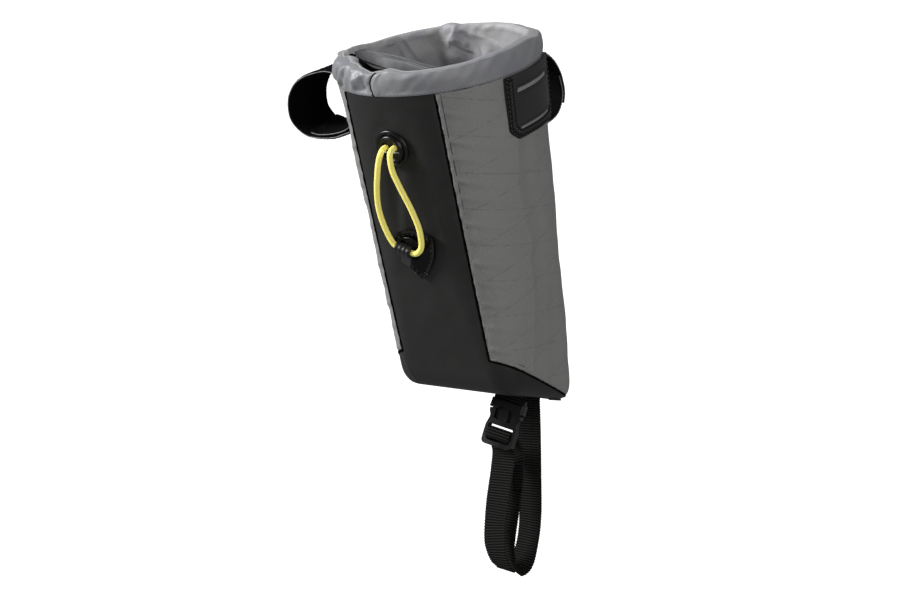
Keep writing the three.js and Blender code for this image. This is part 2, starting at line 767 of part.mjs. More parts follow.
// Pull loop: the elastic's route from the left hole, through the lock and back up to the right hole
const cordPoints = [
  [-2.8, -50.3, -26.8],
  [-2.8, -53, -26.9],
  [-3, -55.3, -28.4],
  [-4.4, -56, -31.7],
  [-7.9, -55.5, -41.2],
  [-11.2, -54, -51.1],
  [-12.6, -53, -57.7],
  [-12.9, -52, -64.3],
  [-12.2, -51, -70.8],
  [-10.9, -50, -76.6],
  [-9.4, -49.5, -79.6],
  [-7.6, -49.5, -80.7],
  [-3.7, -49.5, -82],
  [0.6, -49.5, -83.45],
  [3.4, -49.5, -83.7],
  [6.3, -49.5, -81.9],
  [8.2, -49.8, -78.6],
  [8.9, -50.2, -75],
  [9.4, -51, -69.3],
  [8.7, -52, -62.8],
  [7.4, -53, -56.4],
  [5.7, -54, -50.1],
  [4.1, -55, -43.8],
  [2.8, -55.8, -37.6],
  [2.7, -56, -31.4],
  [2.8, -55.3, -28.4],
  [2.8, -53, -26.9],
  [2.8, -50.3, -26.8],
].map(([x, y, z]) => new THREE.Vector3(x, y, z));
const cordSection = new THREE.Shape(
  Array.from({ length: 8 }, (_, i) => {
    const angle = (i / 8) * 2 * Math.PI;
    return new THREE.Vector2(Math.cos(angle), Math.sin(angle)).multiplyScalar(cordDiameter / 2);
  }),
);
const cord = new THREE.ExtrudeGeometry(cordSection, {
  steps: 50,
  bevelEnabled: false,
  extrudePath: new THREE.CatmullRomCurve3(cordPoints, false, "centripetal"),
});

// A frame of three directions that hangs from the base: down leans forward and sideways
function hanging(forwardLean, sideLean) {
  const down = new THREE.Vector3(
    Math.sin(rad(sideLean)),
    -Math.cos(rad(sideLean)) * Math.sin(rad(forwardLean)),
    -Math.cos(rad(sideLean)) * Math.cos(rad(forwardLean)),
  );
  const side = new THREE.Vector3(-down.z, 0, down.x).normalize();
  const back = new THREE.Vector3().crossVectors(side, down);
  return { down, side, back };
}

const baseFront = sectionAt(1).middle - baseDepth / 2;
const hangBack = baseFront + baseDepth - hangInset;
const baseHeightAt = (y) => -frontHeight - (baseSlant * (y - baseFront)) / baseDepth;
const hangPoint = new THREE.Vector3(hangAcross, hangBack, baseHeightAt(hangBack));
const hang = hanging(hangForwardLean, hangSideLean);
const buckle = hanging(buckleForwardLean, -buckleSideLean);

// Places in the buckle's frame and in the hanging webbing's frame
function buckleAt(sideways, down, front) {
  return hangPoint
    .clone()
    .addScaledVector(buckle.side, sideways)
    .addScaledVector(buckle.down, down)
    .addScaledVector(buckle.back, -front);
}
function hangAt(sideways, down, back) {
  return hangPoint
    .clone()
    .addScaledVector(hang.side, sideways)
    .addScaledVector(hang.down, down)
    .addScaledVector(hang.back, back);
}

// A flat outline of the buckle, sideways and down, as a plate of the given thickness
function plate(outline, thickness) {
  const geometry = new THREE.ExtrudeGeometry(outline, { depth: thickness, bevelEnabled: false, curveSegments: 5 });
  geometry.translate(0, 0, -thickness / 2);
  return solid(placed(geometry, hangPoint, buckle.side, buckle.down, buckle.back));
}
function rectangle(left, rightEdge, top, bottom) {
  const outline = new THREE.Shape();
  outline.moveTo(left, top);
  outline.lineTo(rightEdge, top);
  outline.lineTo(rightEdge, bottom);
  outline.lineTo(left, bottom);
  return outline;
}

// Buckle sizes along it, down from the base
const innerHalf = webbingWidth / 2 + gap;
const outerHalf = innerHalf + railWidth;
const socketBarEnd = buckleDrop + socketBarWidth;
const sleeveTop = socketBarEnd + 1.15 * webbingThickness + 2 * gap;
const sleeveEnd = buckleDrop + socketLength;
const plugTop = sleeveTop + 0.17 * socketLength;
const shoulder = sleeveEnd + gap;
const plugEnd = shoulder + plugLength;
const lowerBarTop = plugEnd - barWidth;
const middleBarEnd = lowerBarTop - 2.2 * webbingThickness - 2 * gap;
const middleBarTop = middleBarEnd - barWidth;
const upperSlotTop = middleBarTop - 1.77 * webbingThickness - 2 * gap;
const sleeveInside = { half: outerHalf - socketSideWall, depth: buckleThickness + 2 * gap };

const socketSleeve = plate(rectangle(-outerHalf, outerHalf, sleeveTop, sleeveEnd), sleeveInside.depth + 2 * socketFaceWall).subtract(
  plate(rectangle(-sleeveInside.half, sleeveInside.half, plugTop - gap, sleeveEnd + gap), sleeveInside.depth),
);
const socketFrame = plate(rectangle(-outerHalf, outerHalf, buckleDrop, sleeveTop + 2 * gap), socketFrameThickness).subtract(
  plate(rectangle(-innerHalf, innerHalf, socketBarEnd, sleeveTop), 2 * socketFrameThickness),
);
const socketBarTrim = plate(
  rectangle(-innerHalf, innerHalf, 0, (socketBarEnd + sleeveTop) / 2),
  2 * socketFrameThickness,
).subtract(plate(rectangle(-outerHalf, outerHalf, -buckleDrop, sleeveTop), socketBarThickness));
const socket = socketSleeve.add(socketFrame).subtract(socketBarTrim);

// Plug: two sprung arms and a tongue in the socket, and a ladder frame that the webbing winds through
const armInner = sleeveInside.half - gap - armWidth;
const arms = new THREE.Shape();
arms.moveTo(-sleeveInside.half + gap, plugTop);
arms.lineTo(-armInner, plugTop);
arms.lineTo(-armInner, upperSlotTop - 1.3 * armRoot);
arms.lineTo(-tongueHalf, upperSlotTop - armRoot);
arms.lineTo(-0.9 * tongueHalf, plugTop + gap);
arms.lineTo(0.9 * tongueHalf, plugTop + gap);
arms.lineTo(tongueHalf, upperSlotTop - armRoot);
arms.lineTo(armInner, upperSlotTop - 1.3 * armRoot);
arms.lineTo(armInner, plugTop);
arms.lineTo(sleeveInside.half - gap, plugTop);
arms.lineTo(sleeveInside.half - gap, shoulder);
arms.lineTo(outerHalf, shoulder + gap);
arms.lineTo(0.98 * outerHalf, shoulder + 0.08 * plugLength);
arms.quadraticCurveTo(0.81 * outerHalf, shoulder + 0.22 * plugLength, 0.94 * outerHalf, upperSlotTop - 0.23 * armRoot);
arms.lineTo(outerHalf, upperSlotTop + 0.4 * barWidth);
arms.lineTo(outerHalf, plugEnd - plugCorner);
arms.quadraticCurveTo(outerHalf, plugEnd, outerHalf - plugCorner, plugEnd);
arms.lineTo(-outerHalf + plugCorner, plugEnd);
arms.quadraticCurveTo(-outerHalf, plugEnd, -outerHalf, plugEnd - plugCorner);
arms.lineTo(-outerHalf, upperSlotTop + 0.4 * barWidth);
arms.lineTo(-0.94 * outerHalf, upperSlotTop - 0.23 * armRoot);
arms.quadraticCurveTo(-0.81 * outerHalf, shoulder + 0.22 * plugLength, -0.98 * outerHalf, shoulder + 0.08 * plugLength);
arms.lineTo(-outerHalf, shoulder + gap);
arms.lineTo(-sleeveInside.half + gap, shoulder);
const ladderBars = [
  [middleBarTop, middleBarEnd],
  [lowerBarTop, plugEnd],
];
const ladderOpening = plate(rectangle(-innerHalf, innerHalf, upperSlotTop, plugEnd + gap), 2 * buckleThickness);
const plug = ladderBars.reduce(
  (sum, [top, bottom]) => sum.add(plate(rectangle(-innerHalf - gap, innerHalf + gap, top, bottom), barThickness)),
  plate(arms, buckleThickness).subtract(ladderOpening),
);

// Tab: a short webbing that is sewn to the base and passes round the socket's bar
const tabFront = socketBarThickness / 2 + gap + webbingThickness / 2;
const tabTurn = socketBarEnd + 0.6 * webbingThickness;
const tabRoute = [
  [0.92 * buckleDrop, tabFront],
  [socketBarEnd, 1.05 * tabFront],
  [tabTurn, 0.78 * tabFront],
  [socketBarEnd + gap + 0.58 * webbingThickness, 0],
  [tabTurn, -0.78 * tabFront],
  [socketBarEnd, -1.05 * tabFront],
  [0.92 * buckleDrop, -tabFront],
].map(([down, front]) => ({ at: buckleAt(0, down, front), across: buckle.side }));
const tab = ribbon(routeOf(tabRoute, 2), webbingWidth - 2 * gap, webbingThickness);

// Webbing in the ladder: down along the buckle, and front off its middle plane
const layer = barThickness / 2 + gap + webbingThickness / 2;
const ladderTurn = middleBarTop - gap - 0.58 * webbingThickness;
const ladderRoute = [
  [plugEnd + 0.6 * barWidth, -1.14 * layer],
  [lowerBarTop + 0.08 * barWidth, -layer],
  [lowerBarTop - 0.6 * barWidth, -0.49 * layer],
  [middleBarEnd + 0.64 * barWidth, 0.44 * layer],
  [middleBarEnd + 0.08 * barWidth, layer],
  [middleBarTop + 0.36 * barWidth, 1.05 * layer],
  [middleBarTop - 0.28 * barWidth, 0.95 * layer],
  [ladderTurn, 0.37 * layer],
  [ladderTurn, -0.33 * layer],
  [middleBarTop - 0.24 * barWidth, -layer],
  [middleBarEnd, -1.42 * layer],
  [lowerBarTop, -1.86 * layer],
  [plugEnd + 0.8 * barWidth, -2.28 * layer],
];

// Hanging webbing: down, back and sway are shares of the loop's drop, depth and sway, and yaw and
// tilt turn its width, in degrees. The tail comes first, and the loop ends at the base's back edge.
const tailRows = [
  { down: 0.965, back: 0.02, sway: 0.65, yaw: 10, tilt: 17 },
  { down: 0.925, back: -0.17, sway: 0.72, yaw: 8, tilt: 16 },
  { down: 0.85, back: -0.24, sway: 0.78, yaw: 6, tilt: 14 },
  { down: 0.73, back: -0.17, sway: 0.87, yaw: 3, tilt: 13 },
  { down: 0.61, back: -0.13, sway: 0.8, yaw: 0, tilt: 13 },
  { down: 0.44, back: -0.02, sway: 0.7, yaw: 0, tilt: 13 },
];
const loopRows = [
  { down: 0.44, back: 0.22, sway: 0.7, yaw: 0, tilt: 13 },
  { down: 0.61, back: 0.09, sway: 0.8, yaw: 2, tilt: 13 },
  { down: 0.73, back: 0.02, sway: 0.87, yaw: 6, tilt: 14 },
  { down: 0.86, back: 0.06, sway: 0.95, yaw: 14, tilt: 16 },
  { down: 0.955, back: 0.2, sway: 0.92, yaw: 22, tilt: 19 },
  { down: 1.0, back: 0.48, sway: 0.9, yaw: 28, tilt: 21 },
  { down: 0.965, back: 0.78, sway: 0.85, yaw: 22, tilt: 18 },
  { down: 0.87, back: 0.97, sway: 0.75, yaw: 10, tilt: 12 },
  { down: 0.73, back: 1.0, sway: 0.6, yaw: 4, tilt: 9 },
  { down: 0.44, back: 0.89, sway: 0.4, yaw: 0, tilt: 7 },
  { down: 0.2, back: 0.77, sway: 0.16, yaw: 0, tilt: 6 },
  { down: -0.012, back: 0.65, sway: 0, yaw: 0, tilt: 2 },
];
function hangRow({ down, back, sway, yaw, tilt }) {
  const level = hang.side
    .clone()
    .multiplyScalar(Math.cos(rad(yaw)))
    .addScaledVector(hang.back, -Math.sin(rad(yaw)));
  return {
    at: hangAt(-sway * hangSway, down * hangDrop, back * hangDepth),
    across: level.multiplyScalar(Math.cos(rad(tilt))).addScaledVector(hang.down, Math.sin(rad(tilt))),
  };
}
const webbingRoute = [
  ...tailRows.map(hangRow),
  ...ladderRoute.map(([down, front]) => ({ at: buckleAt(0, down, front), across: buckle.side, steps: 1 })),
  ...loopRows.map(hangRow),
];
const webbing = ribbon(routeOf(webbingRoute, 2), webbingWidth, webbingThickness);

// The pieces hang in one group whose origin is the middle of the back strap's loop
const part = new THREE.Group();
part.position.copy(backStrap.heart).negate();
const pieces = [
  ["side_panels", shape(sidePanels), finish.laminate],
  ["front_panel", shape(frontPanel), finish.panel],
  ["rim_collar", collar, finish.nylon],
  ["lining", lining, finish.nylon],
  ["closure_band", band, finish.nylon],
  ...Object.entries(patches).map(([name, patch]) => [name, shape(patch), finish.rubber]),
  ["left_strap", leftStrap.geometry, finish.hook],
  ["back_strap", backStrap.geometry, finish.hook],
  ["grommet", shape(grommet), finish.plastic],
  ["shield_patch", shape(shield), finish.plastic],
  ["cord_lock", shape(lock), finish.plastic],
  ["elastic_cord", cord, finish.elastic],
  ["buckle_socket", shape(socket), finish.plastic],
  ["buckle_plug", shape(plug), finish.plastic],
  ["buckle_tab", tab, finish.webbing],
  ["lower_strap", webbing, finish.webbing],
];
for (const [name, geometry, material] of pieces) {
  const mesh = new THREE.Mesh(geometry, material);
  mesh.name = name;
  part.add(mesh);
}

export default part;
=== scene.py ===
"""Looks of a bicycle food pouch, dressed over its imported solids.

Lengths are millimetres in the pouch's own frame, whose origin is the middle of the collar's lower edge,
with +Z up along the pouch and the black panel facing -Y. A finished mesh is moved to the row's frame.
"""

import json
import logging
import math
from collections.abc import Callable, Sequence
from dataclasses import dataclass, field, replace
from enum import Enum

import bmesh
import bpy
import numpy as np
from mathutils import Matrix, Vector
from mathutils.geometry import tessellate_polygon

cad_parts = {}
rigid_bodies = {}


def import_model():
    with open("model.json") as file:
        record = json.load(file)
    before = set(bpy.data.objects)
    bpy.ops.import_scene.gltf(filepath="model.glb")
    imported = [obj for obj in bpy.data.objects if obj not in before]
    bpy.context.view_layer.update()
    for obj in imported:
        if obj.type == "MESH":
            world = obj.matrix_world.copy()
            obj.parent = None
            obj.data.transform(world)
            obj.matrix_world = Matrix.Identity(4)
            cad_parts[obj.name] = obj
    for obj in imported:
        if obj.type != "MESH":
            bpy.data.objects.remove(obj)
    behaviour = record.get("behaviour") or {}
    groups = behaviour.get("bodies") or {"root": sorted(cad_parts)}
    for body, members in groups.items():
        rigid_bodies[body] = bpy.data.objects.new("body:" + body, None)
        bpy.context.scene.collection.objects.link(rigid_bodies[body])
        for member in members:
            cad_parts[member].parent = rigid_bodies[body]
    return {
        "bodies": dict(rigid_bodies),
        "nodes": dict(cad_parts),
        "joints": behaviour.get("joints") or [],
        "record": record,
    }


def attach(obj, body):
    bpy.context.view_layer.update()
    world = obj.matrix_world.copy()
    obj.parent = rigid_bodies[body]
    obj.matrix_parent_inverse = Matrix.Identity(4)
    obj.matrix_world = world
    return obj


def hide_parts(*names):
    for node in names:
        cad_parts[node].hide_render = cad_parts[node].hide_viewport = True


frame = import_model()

log = logging.getLogger("pouch")

# The row frame's origin, the gap between pieces that only touch, and the ribs across webbing
ROW_ORIGIN = np.array([0.0, 69.424, -33.8])
GAP = 0.3
RIB_PITCH = 1.45
RIB_SWAY = 2.6
Array = np.ndarray
Number = Array | float
Pair = tuple[float, float]
Triple = tuple[float, float, float]
Relief = Callable[[Array, Array], Array]
Socket = bpy.types.NodeSocket


class Face(Enum):
    """A side of the pouch: its outward and its sideways directions."""

    FRONT = ((0, -1, 0), (1, 0, 0))
    RIGHT = ((1, 0, 0), (0, 1, 0))
    BACK = ((0, 1, 0), (-1, 0, 0))
    LEFT = ((-1, 0, 0), (0, -1, 0))

    @property
    def out(self) -> Array:
        """The side's outward direction."""
        return np.array(self.value[0], float)

    @property
    def side(self) -> Array:
        """The side's sideways direction."""
        return np.array(self.value[1], float)


# Surfaces as arrays


def no_triangles() -> Array:
    """An empty list of triangles."""
    return np.zeros((0, 3), int)


@dataclass
class Skin:
    """Points joined by quads and triangles, with a flat place in millimetres for each point."""

    points: Array
    quads: Array
    flat: Array
    tris: Array = field(default_factory=no_triangles)

    def joined(self, *others: "Skin") -> "Skin":
        """This skin and others as one.

        Args:
            others: the skins to add.

        Returns:
            One skin that holds them all.
        """
        skins = (self, *others)
        starts = np.cumsum([0] + [len(s.points) for s in skins])
        return Skin(
            np.vstack([s.points for s in skins]),
            np.vstack([s.quads + n for s, n in zip(skins, starts)]),
            np.vstack([s.flat for s in skins]),
            np.vstack([s.tris + n for s, n in zip(skins, starts)]),
        )


def unit(vectors: Array) -> Array:
    """Each vector divided by its length."""
    return vectors / np.maximum(np.linalg.norm(vectors, axis=-1, keepdims=True), 1e-12)


def smooth(low: float, high: float, x: Array) -> Array:
    """Zero below low, one above high, and 3t^2 - 2t^3 between."""
    t = np.clip((np.asarray(x, float) - low) / (high - low), 0, 1)
    return t * t * (3 - 2 * t)


def bump(x: Array, middle: float, width: float) -> Array:
    """A bell of height one: e to the minus square of the distance over the width."""
    return np.exp(-(((np.asarray(x, float) - middle) / width) ** 2))


def ripple(u: Array, v: Array, size: float, seed: int, waves: int = 9) -> Array:
    """A smooth random field: the sum of sine waves of random direction, each of about the given length.

    Args:
        u: first flat coordinate.
        v: second flat coordinate.
        size: usual length of a wave, in the units of u and v.
        seed: seed of the directions and phases.
        waves: how many waves are summed.

    Returns:
        Values that mostly lie between -1 and 1.
    """
    rng = np.random.default_rng(seed)
    total = np.zeros(np.broadcast(u, v).shape)
    for angle, length, phase in rng.uniform((0, 0.7, 0), (math.pi, 1.5, 2 * math.pi), (waves, 3)):
        pace = 2 * math.pi / (size * length)
        total = total + np.sin(pace * (u * math.cos(angle) + v * math.sin(angle)) + phase)
    return total / math.sqrt(waves)


def radial(turn: Array, rise: float = 0.0) -> Array:
    """Directions away from the pouch's axis at turns in radians, tilted upwards by rise."""
    return np.stack([np.sin(turn), -np.cos(turn), 0 * turn + rise], -1)


def spokes(count: int, a: Array, b: Array) -> Array:
    """Points round a circle or an oval: a times the cosine and b times the sine of each even turn."""
    angle = np.arange(count) / count * 2 * math.pi
    return np.cos(angle)[:, None] * a + np.sin(angle)[:, None] * b


def squared(side: Array, tangent: Array) -> Array:
    """Directions made square to a path's tangent."""
    return unit(side - (side * tangent).sum(1, keepdims=True) * tangent)


def running(path: Array) -> Array:
    """Length along a path up to each of its points."""
    return np.concatenate([[0], np.cumsum(np.linalg.norm(np.diff(path, axis=0), axis=1))])


def read_at(places: Array, run: Array, values: Array) -> Array:
    """Values (n, k) known at the lengths in run, read at other lengths."""
    return np.stack([np.interp(places, run, column) for column in values.T], -1)


def closed(loop: Array) -> Array:
    """A loop of points with its first point again at its end."""
    return np.vstack([loop, loop[:1]])


def laid(u: Array, v: Array) -> Array:
    """Flat places from two coordinates, broadcast together."""
    return np.stack(np.broadcast_arrays(u, v), -1)


def grid_quads(rows: int, columns: int, start: int = 0) -> Array:
    """The quads of a grid of points, row by row.

    Args:
        rows: rows of points.
        columns: points in a row.
        start: number of the grid's first point.

    Returns:
        Quads that turn from a row towards the next.
    """
    at = start + np.arange(rows * columns).reshape(rows, columns)
    return np.stack([at[:-1, :-1], at[:-1, 1:], at[1:, 1:], at[1:, :-1]], -1).reshape(-1, 4)


def ring_quads(rows: int, columns: int, joined: bool = False) -> Array:
    """The quads of a grid whose rows are closed rings, and whose last ring may be joined to its first.

    Args:
        rows: number of rings.
        columns: number of points in a ring.
        joined: whether the last ring is joined to the first.

    Returns:
        The quads' point numbers (n, 4).
    """
    at = np.arange(rows * columns).reshape(rows, columns)
    after = np.roll(at, -1, 1)
    quads = np.stack([at, after, np.roll(after, -1, 0), np.roll(at, -1, 0)], -1)
    return quads[: rows if joined else -1].reshape(-1, 4)


def rim(rows: int, columns: int) -> Array:
    """The numbers of a grid's edge points, once round it."""
    at = np.arange(rows * columns).reshape(rows, columns)
    return np.concatenate([at[0, :-1], at[:-1, -1], at[-1, :0:-1], at[:0:-1, 0]])


def walled(outer: Array, inner: Array, flat: Array) -> Skin:
    """A closed sheet: an outer grid, an inner one, and a strip round their edges.

    Args:
        outer: points (rows, columns, 3) of the outer face.
        inner: the same of the inner face.
        flat: flat places (rows, columns, 2).

    Returns:
        The closed sheet.
    """
    rows, columns = outer.shape[:2]
    count = rows * columns
    edge = rim(rows, columns)
    after = np.roll(edge, -1)
    quads = np.vstack([
        grid_quads(rows, columns),
        grid_quads(rows, columns, count)[:, ::-1],
        np.stack([edge, edge + count, after + count, after], -1),
    ])
    points = np.vstack([outer.reshape(-1, 3), inner.reshape(-1, 3)])
    return Skin(points, quads, np.vstack([flat.reshape(-1, 2)] * 2))


def capped(grid: Array, ends: Array, flat: Array) -> Skin:
    """A tube through rings of points, each end closed by triangles that meet in a middle point.

    Args:
        grid: points (rings, points of a ring, 3).
        ends: the two middle points.
        flat: flat places of the grid's points, then of the middle points.

    Returns:
        The closed tube.
    """
    rows, columns = grid.shape[:2]
    first = np.arange(columns)
    last = first + (rows - 1) * columns
    poles = [np.full(columns, rows * columns + k) for k in (0, 1)]
    tris = np.vstack([
        np.stack([poles[0], np.roll(first, -1), first], -1),
        np.stack([poles[1], last, np.roll(last, -1)], -1),
    ])
    return Skin(np.vstack([grid.reshape(-1, 3), ends]), ring_quads(rows, columns), flat, tris)


def turned_body(points: Array, radius: float, along: Array) -> Skin:
    """A body turned about an axis, from its rings of points, with flat places as arc and along.

    Args:
        points: its rings of points (rows, columns, 3).
        radius: radius of the flat places' arc.
        along: each ring's flat place along the body.

    Returns:
        The body.
    """
    rows, columns = points.shape[:2]
    arc = np.arange(columns) / columns * 2 * math.pi * radius
    flat = laid(arc, along[:, None]).reshape(-1, 2)
    return Skin(points.reshape(-1, 3), ring_quads(rows, columns, joined=True), flat)


def filled(ring: Array, thickness: float, shift: float = 0.0) -> Skin:
    """A sheet that fills a ring of points but for a pinhole, its flat places moved back by shift.

    Args:
        ring: points round the sheet's edge.
        thickness: how far up its other face lies.
        shift: how far its flat places are moved back.

    Returns:
        The closed sheet.
    """
    middle = ring.mean(0)
    disc = middle + (ring[None] - middle) * np.linspace(1, 0.02, 8)[:, None, None]
    return walled(disc, disc + [0, 0, thickness], disc[..., :2] - [0, shift])


def grid_normals(points: Array) -> Array:
    """Unit normals of a grid: the cross product of its steps along columns and rows."""
    return unit(np.cross(np.gradient(points, axis=1), np.gradient(points, axis=0)))


def closed_curve(corners: Array, count: int) -> Array:
    """A smooth closed curve through corners: uniform Catmull-Rom.

    Args:
        corners: points (n, k) in order.
        count: how many points to return.

    Returns:
        Points (count, k) evenly spread in parameter.
    """
    n = len(corners)
    place = np.arange(count) / count * n
    low = place.astype(int) % n
    t = (place - place.astype(int))[:, None]
    a, b, c, d = (corners[(low + k) % n] for k in (-1, 0, 1, 2))
    return 0.5 * (2 * b + (c - a) * t + (2 * a - 5 * b + 4 * c - d) * t**2 + (3 * b - a - 3 * c + d) * t**3)


def centripetal(points: Array, per_span: int, *carried: Array) -> tuple[Array, ...]:
    """A centripetal Catmull-Rom curve through points, as the solids use, with values eased along it.

    Args:
        points: points (n, 3) to pass through.
        per_span: samples between two points.
        carried: values (n,) or (n, k) that are mixed evenly between the points.

    Returns:
        The curve's samples, then each carried array at the samples.
    """
    points = np.asarray(points, float)
    last = len(points) - 1
    place = np.arange(last * per_span + 1) / per_span
    low = np.minimum(place.astype(int), last - 1)
    t = (place - low)[:, None]
    ends = np.vstack([2 * points[0] - points[1], points, 2 * points[-1] - points[-2]])
    a, b, c, d = (ends[low + k] for k in range(4))
    d0, d1, d2 = (np.sqrt(np.linalg.norm(q - p, axis=1))[:, None] for p, q in ((a, b), (b, c), (c, d)))
    m1 = ((b - a) / d0 - (c - a) / (d0 + d1) + (c - b) / d1) * d1
    m2 = ((c - b) / d1 - (d - b) / (d1 + d2) + (d - c) / d2) * d1
    curve = b + m1 * t + (-3 * b + 3 * c - 2 * m1 - m2) * t**2 + (2 * b - 2 * c + m1 + m2) * t**3
    eased = []
    for values in carried:
        values = np.asarray(values, float)
        share = t if values.ndim > 1 else t[:, 0]
        eased.append(values[low] * (1 - share) + values[low + 1] * share)
    return (curve, *eased)


def sweep(
    path: Array, side: Array, profile: Array, bow: Array | None = None, relief: Relief | None = None
) -> Skin:
    """A closed profile carried along a path, with both ends closed.

    A point is path + side * a + face * (b + bow * (a / half width)^2), where face is the tangent
    crossed with side, and relief moves it outwards.

    Args:
        path: points (n, 3).
        side: sideways directions (n, 3), made square to the path here.
        profile: closed outline (k, 2) as a and b, turning from a towards b.
        bow: how far the edges bend towards face (n,).
        relief: outward shift from the length along (n, 1) and the distance round (1, k).

    Returns:
        The swept skin, with flat places as distance round and length along.
    """
    tangent = unit(np.gradient(path, axis=0))
    side = squared(side, tangent)
    face = np.cross(tangent, side)
    along, around = running(path), running(closed(profile))[:-1]
    turn = unit(np.roll(profile, -1, 0) - np.roll(profile, 1, 0))
    normal = np.stack([turn[:, 1], -turn[:, 0]], -1)
    shift = 0 if relief is None else relief(along[:, None], around[None, :])[..., None]
    flat = np.broadcast_to(profile, (len(path), *profile.shape)) + shift * normal
    half = np.abs(profile[:, 0]).max()
    lift = flat[..., 1] + (0 if bow is None else bow[:, None] * (profile[None, :, 0] / half) ** 2)
    points = path[:, None] + side[:, None] * flat[..., :1] + face[:, None] * lift[..., None]
    ends = np.vstack([points[0].mean(0), points[-1].mean(0)])
    spread = np.vstack([laid(around[None, :], along[:, None]).reshape(-1, 2), [[0, 0], [0, along[-1]]]])
    return capped(points, ends, spread)


def rounded_box(width: float, height: float, radius: float, per_corner: int = 5) -> Array:
    """A rectangle's outline with round corners, turning anticlockwise.

    Args:
        width: its size along a.
        height: its size along b.
        radius: radius of the corners.
        per_corner: points in a corner.

    Returns:
        Outline points (4 * per_corner, 2).
    """
    angle = np.linspace(0, math.pi / 2, per_corner)
    turns = (angle[None] + np.arange(4)[:, None] * math.pi / 2).ravel()
    signs = np.repeat([[1, 1], [-1, 1], [-1, -1], [1, -1]], per_corner, 0)
    middles = signs * [width / 2 - radius, height / 2 - radius]
    return middles + radius * np.stack([np.cos(turns), np.sin(turns)], -1)


def strap_outline(width: float, thickness: float, steps: int = 14) -> Array:
    """The section of a strap: flat faces with points along them and round edges.

    Args:
        width: the strap's width.
        thickness: its thickness.
        steps: number of points along a flat face.

    Returns:
        The section's points, once round it.
    """
    half, radius = width / 2, thickness / 2
    run = np.linspace(-half + radius, half - radius, steps)
    arc = np.linspace(-math.pi / 2, math.pi / 2, 7)[1:-1]
    end = np.stack([half - radius + radius * np.cos(arc), radius * np.sin(arc)], -1)
    bottom = np.stack([run, np.full(steps, -radius)], -1)
    return np.vstack([bottom, end, -bottom, -end])


def stitches(path: Array, out: Array, length: float, pitch: float, radius: float, lean: float = 0.0) -> Skin:
    """A row of thread stitches: a short spindle at each pitch along a path.

    Args:
        path: points (n, 3) on the cloth.
        out: outward directions (n, 3).
        length: length of a stitch.
        pitch: distance from one stitch to the next.
        radius: thickness of the thread, as a radius.
        lean: slant of the stitches to the path, in degrees.

    Returns:
        All the stitches as one skin.
    """
    run = running(path)
    places = np.arange(pitch / 2, run[-1], pitch)
    at = read_at(places, run, path)
    up = unit(read_at(places, run, out))
    ahead = unit(read_at(places + 0.05, run, path) - at)
    across = unit(np.cross(ahead, up))
    c, s = math.cos(math.radians(lean)), math.sin(math.radians(lean))
    tangent, side = ahead * c + across * s, across * c - ahead * s
    t = np.array([-1, -0.72, 0, 0.72, 1.0])
    size = np.array([0.1, 0.72, 1, 0.72, 0.1])
    angle = np.arange(8) / 8 * 2 * math.pi
    ring = side[:, None, None] * np.cos(angle)[None, None, :, None]
    ring = ring + up[:, None, None] * np.sin(angle)[None, None, :, None]
    middle = at[:, None] + tangent[:, None] * (t * length / 2)[None, :, None]
    middle = middle - up[:, None] * (radius * 0.9 * t**2)[None, :, None]
    points = middle[:, :, None] + ring * (size * radius)[None, :, None, None]
    number = np.arange(points[..., 0].size).reshape(points.shape[:3])
    after = np.roll(number, -1, 2)
    quads = np.stack([number[:, :-1], after[:, :-1], after[:, 1:], number[:, 1:]], -1).reshape(-1, 4)
    tris = []
    for end in (0, -1):
        ring_numbers = number[:, end]
        fan = np.stack([ring_numbers[:, 1:-1], ring_numbers[:, 2:]], -1)
        hub = np.broadcast_to(ring_numbers[:, :1, None], (*fan.shape[:2], 1))
        fans = np.concatenate([hub, fan if end else fan[..., ::-1]], -1)
        tris.append(fans.reshape(-1, 3))
    flat = np.broadcast_to((t * length)[None, :, None, None], (*points.shape[:3], 2)).reshape(-1, 2)
    return Skin(points.reshape(-1, 3), quads, flat, np.vstack(tris))


def ragged(seed: int, size: float) -> Relief:
    """A relief that moves each point by its own random amount, of about the given size.

    Args:
        seed: seed of the amounts.
        size: their usual size in millimetres.

    Returns:
        The relief.
    """

    def relief(along: Array, around: Array) -> Array:
        """A random amount for each point, the same in every run."""
        return np.random.default_rng(seed).normal(0, size, np.broadcast(along, around).shape)

    return relief


def evened(step: float, path: Array, *carried: Array) -> tuple[Array, ...]:
    """A path, and values carried along it, read again at even steps.

    Args:
        step: length of a step.
        path: points (n, 3).
        carried: values (n, k).

    Returns:
        The new points, then each carried array at them.
    """
    run = running(path)
    even = np.linspace(0, run[-1], int(run[-1] / step) + 1)
    return tuple(read_at(even, run, values) for values in (path, *carried))


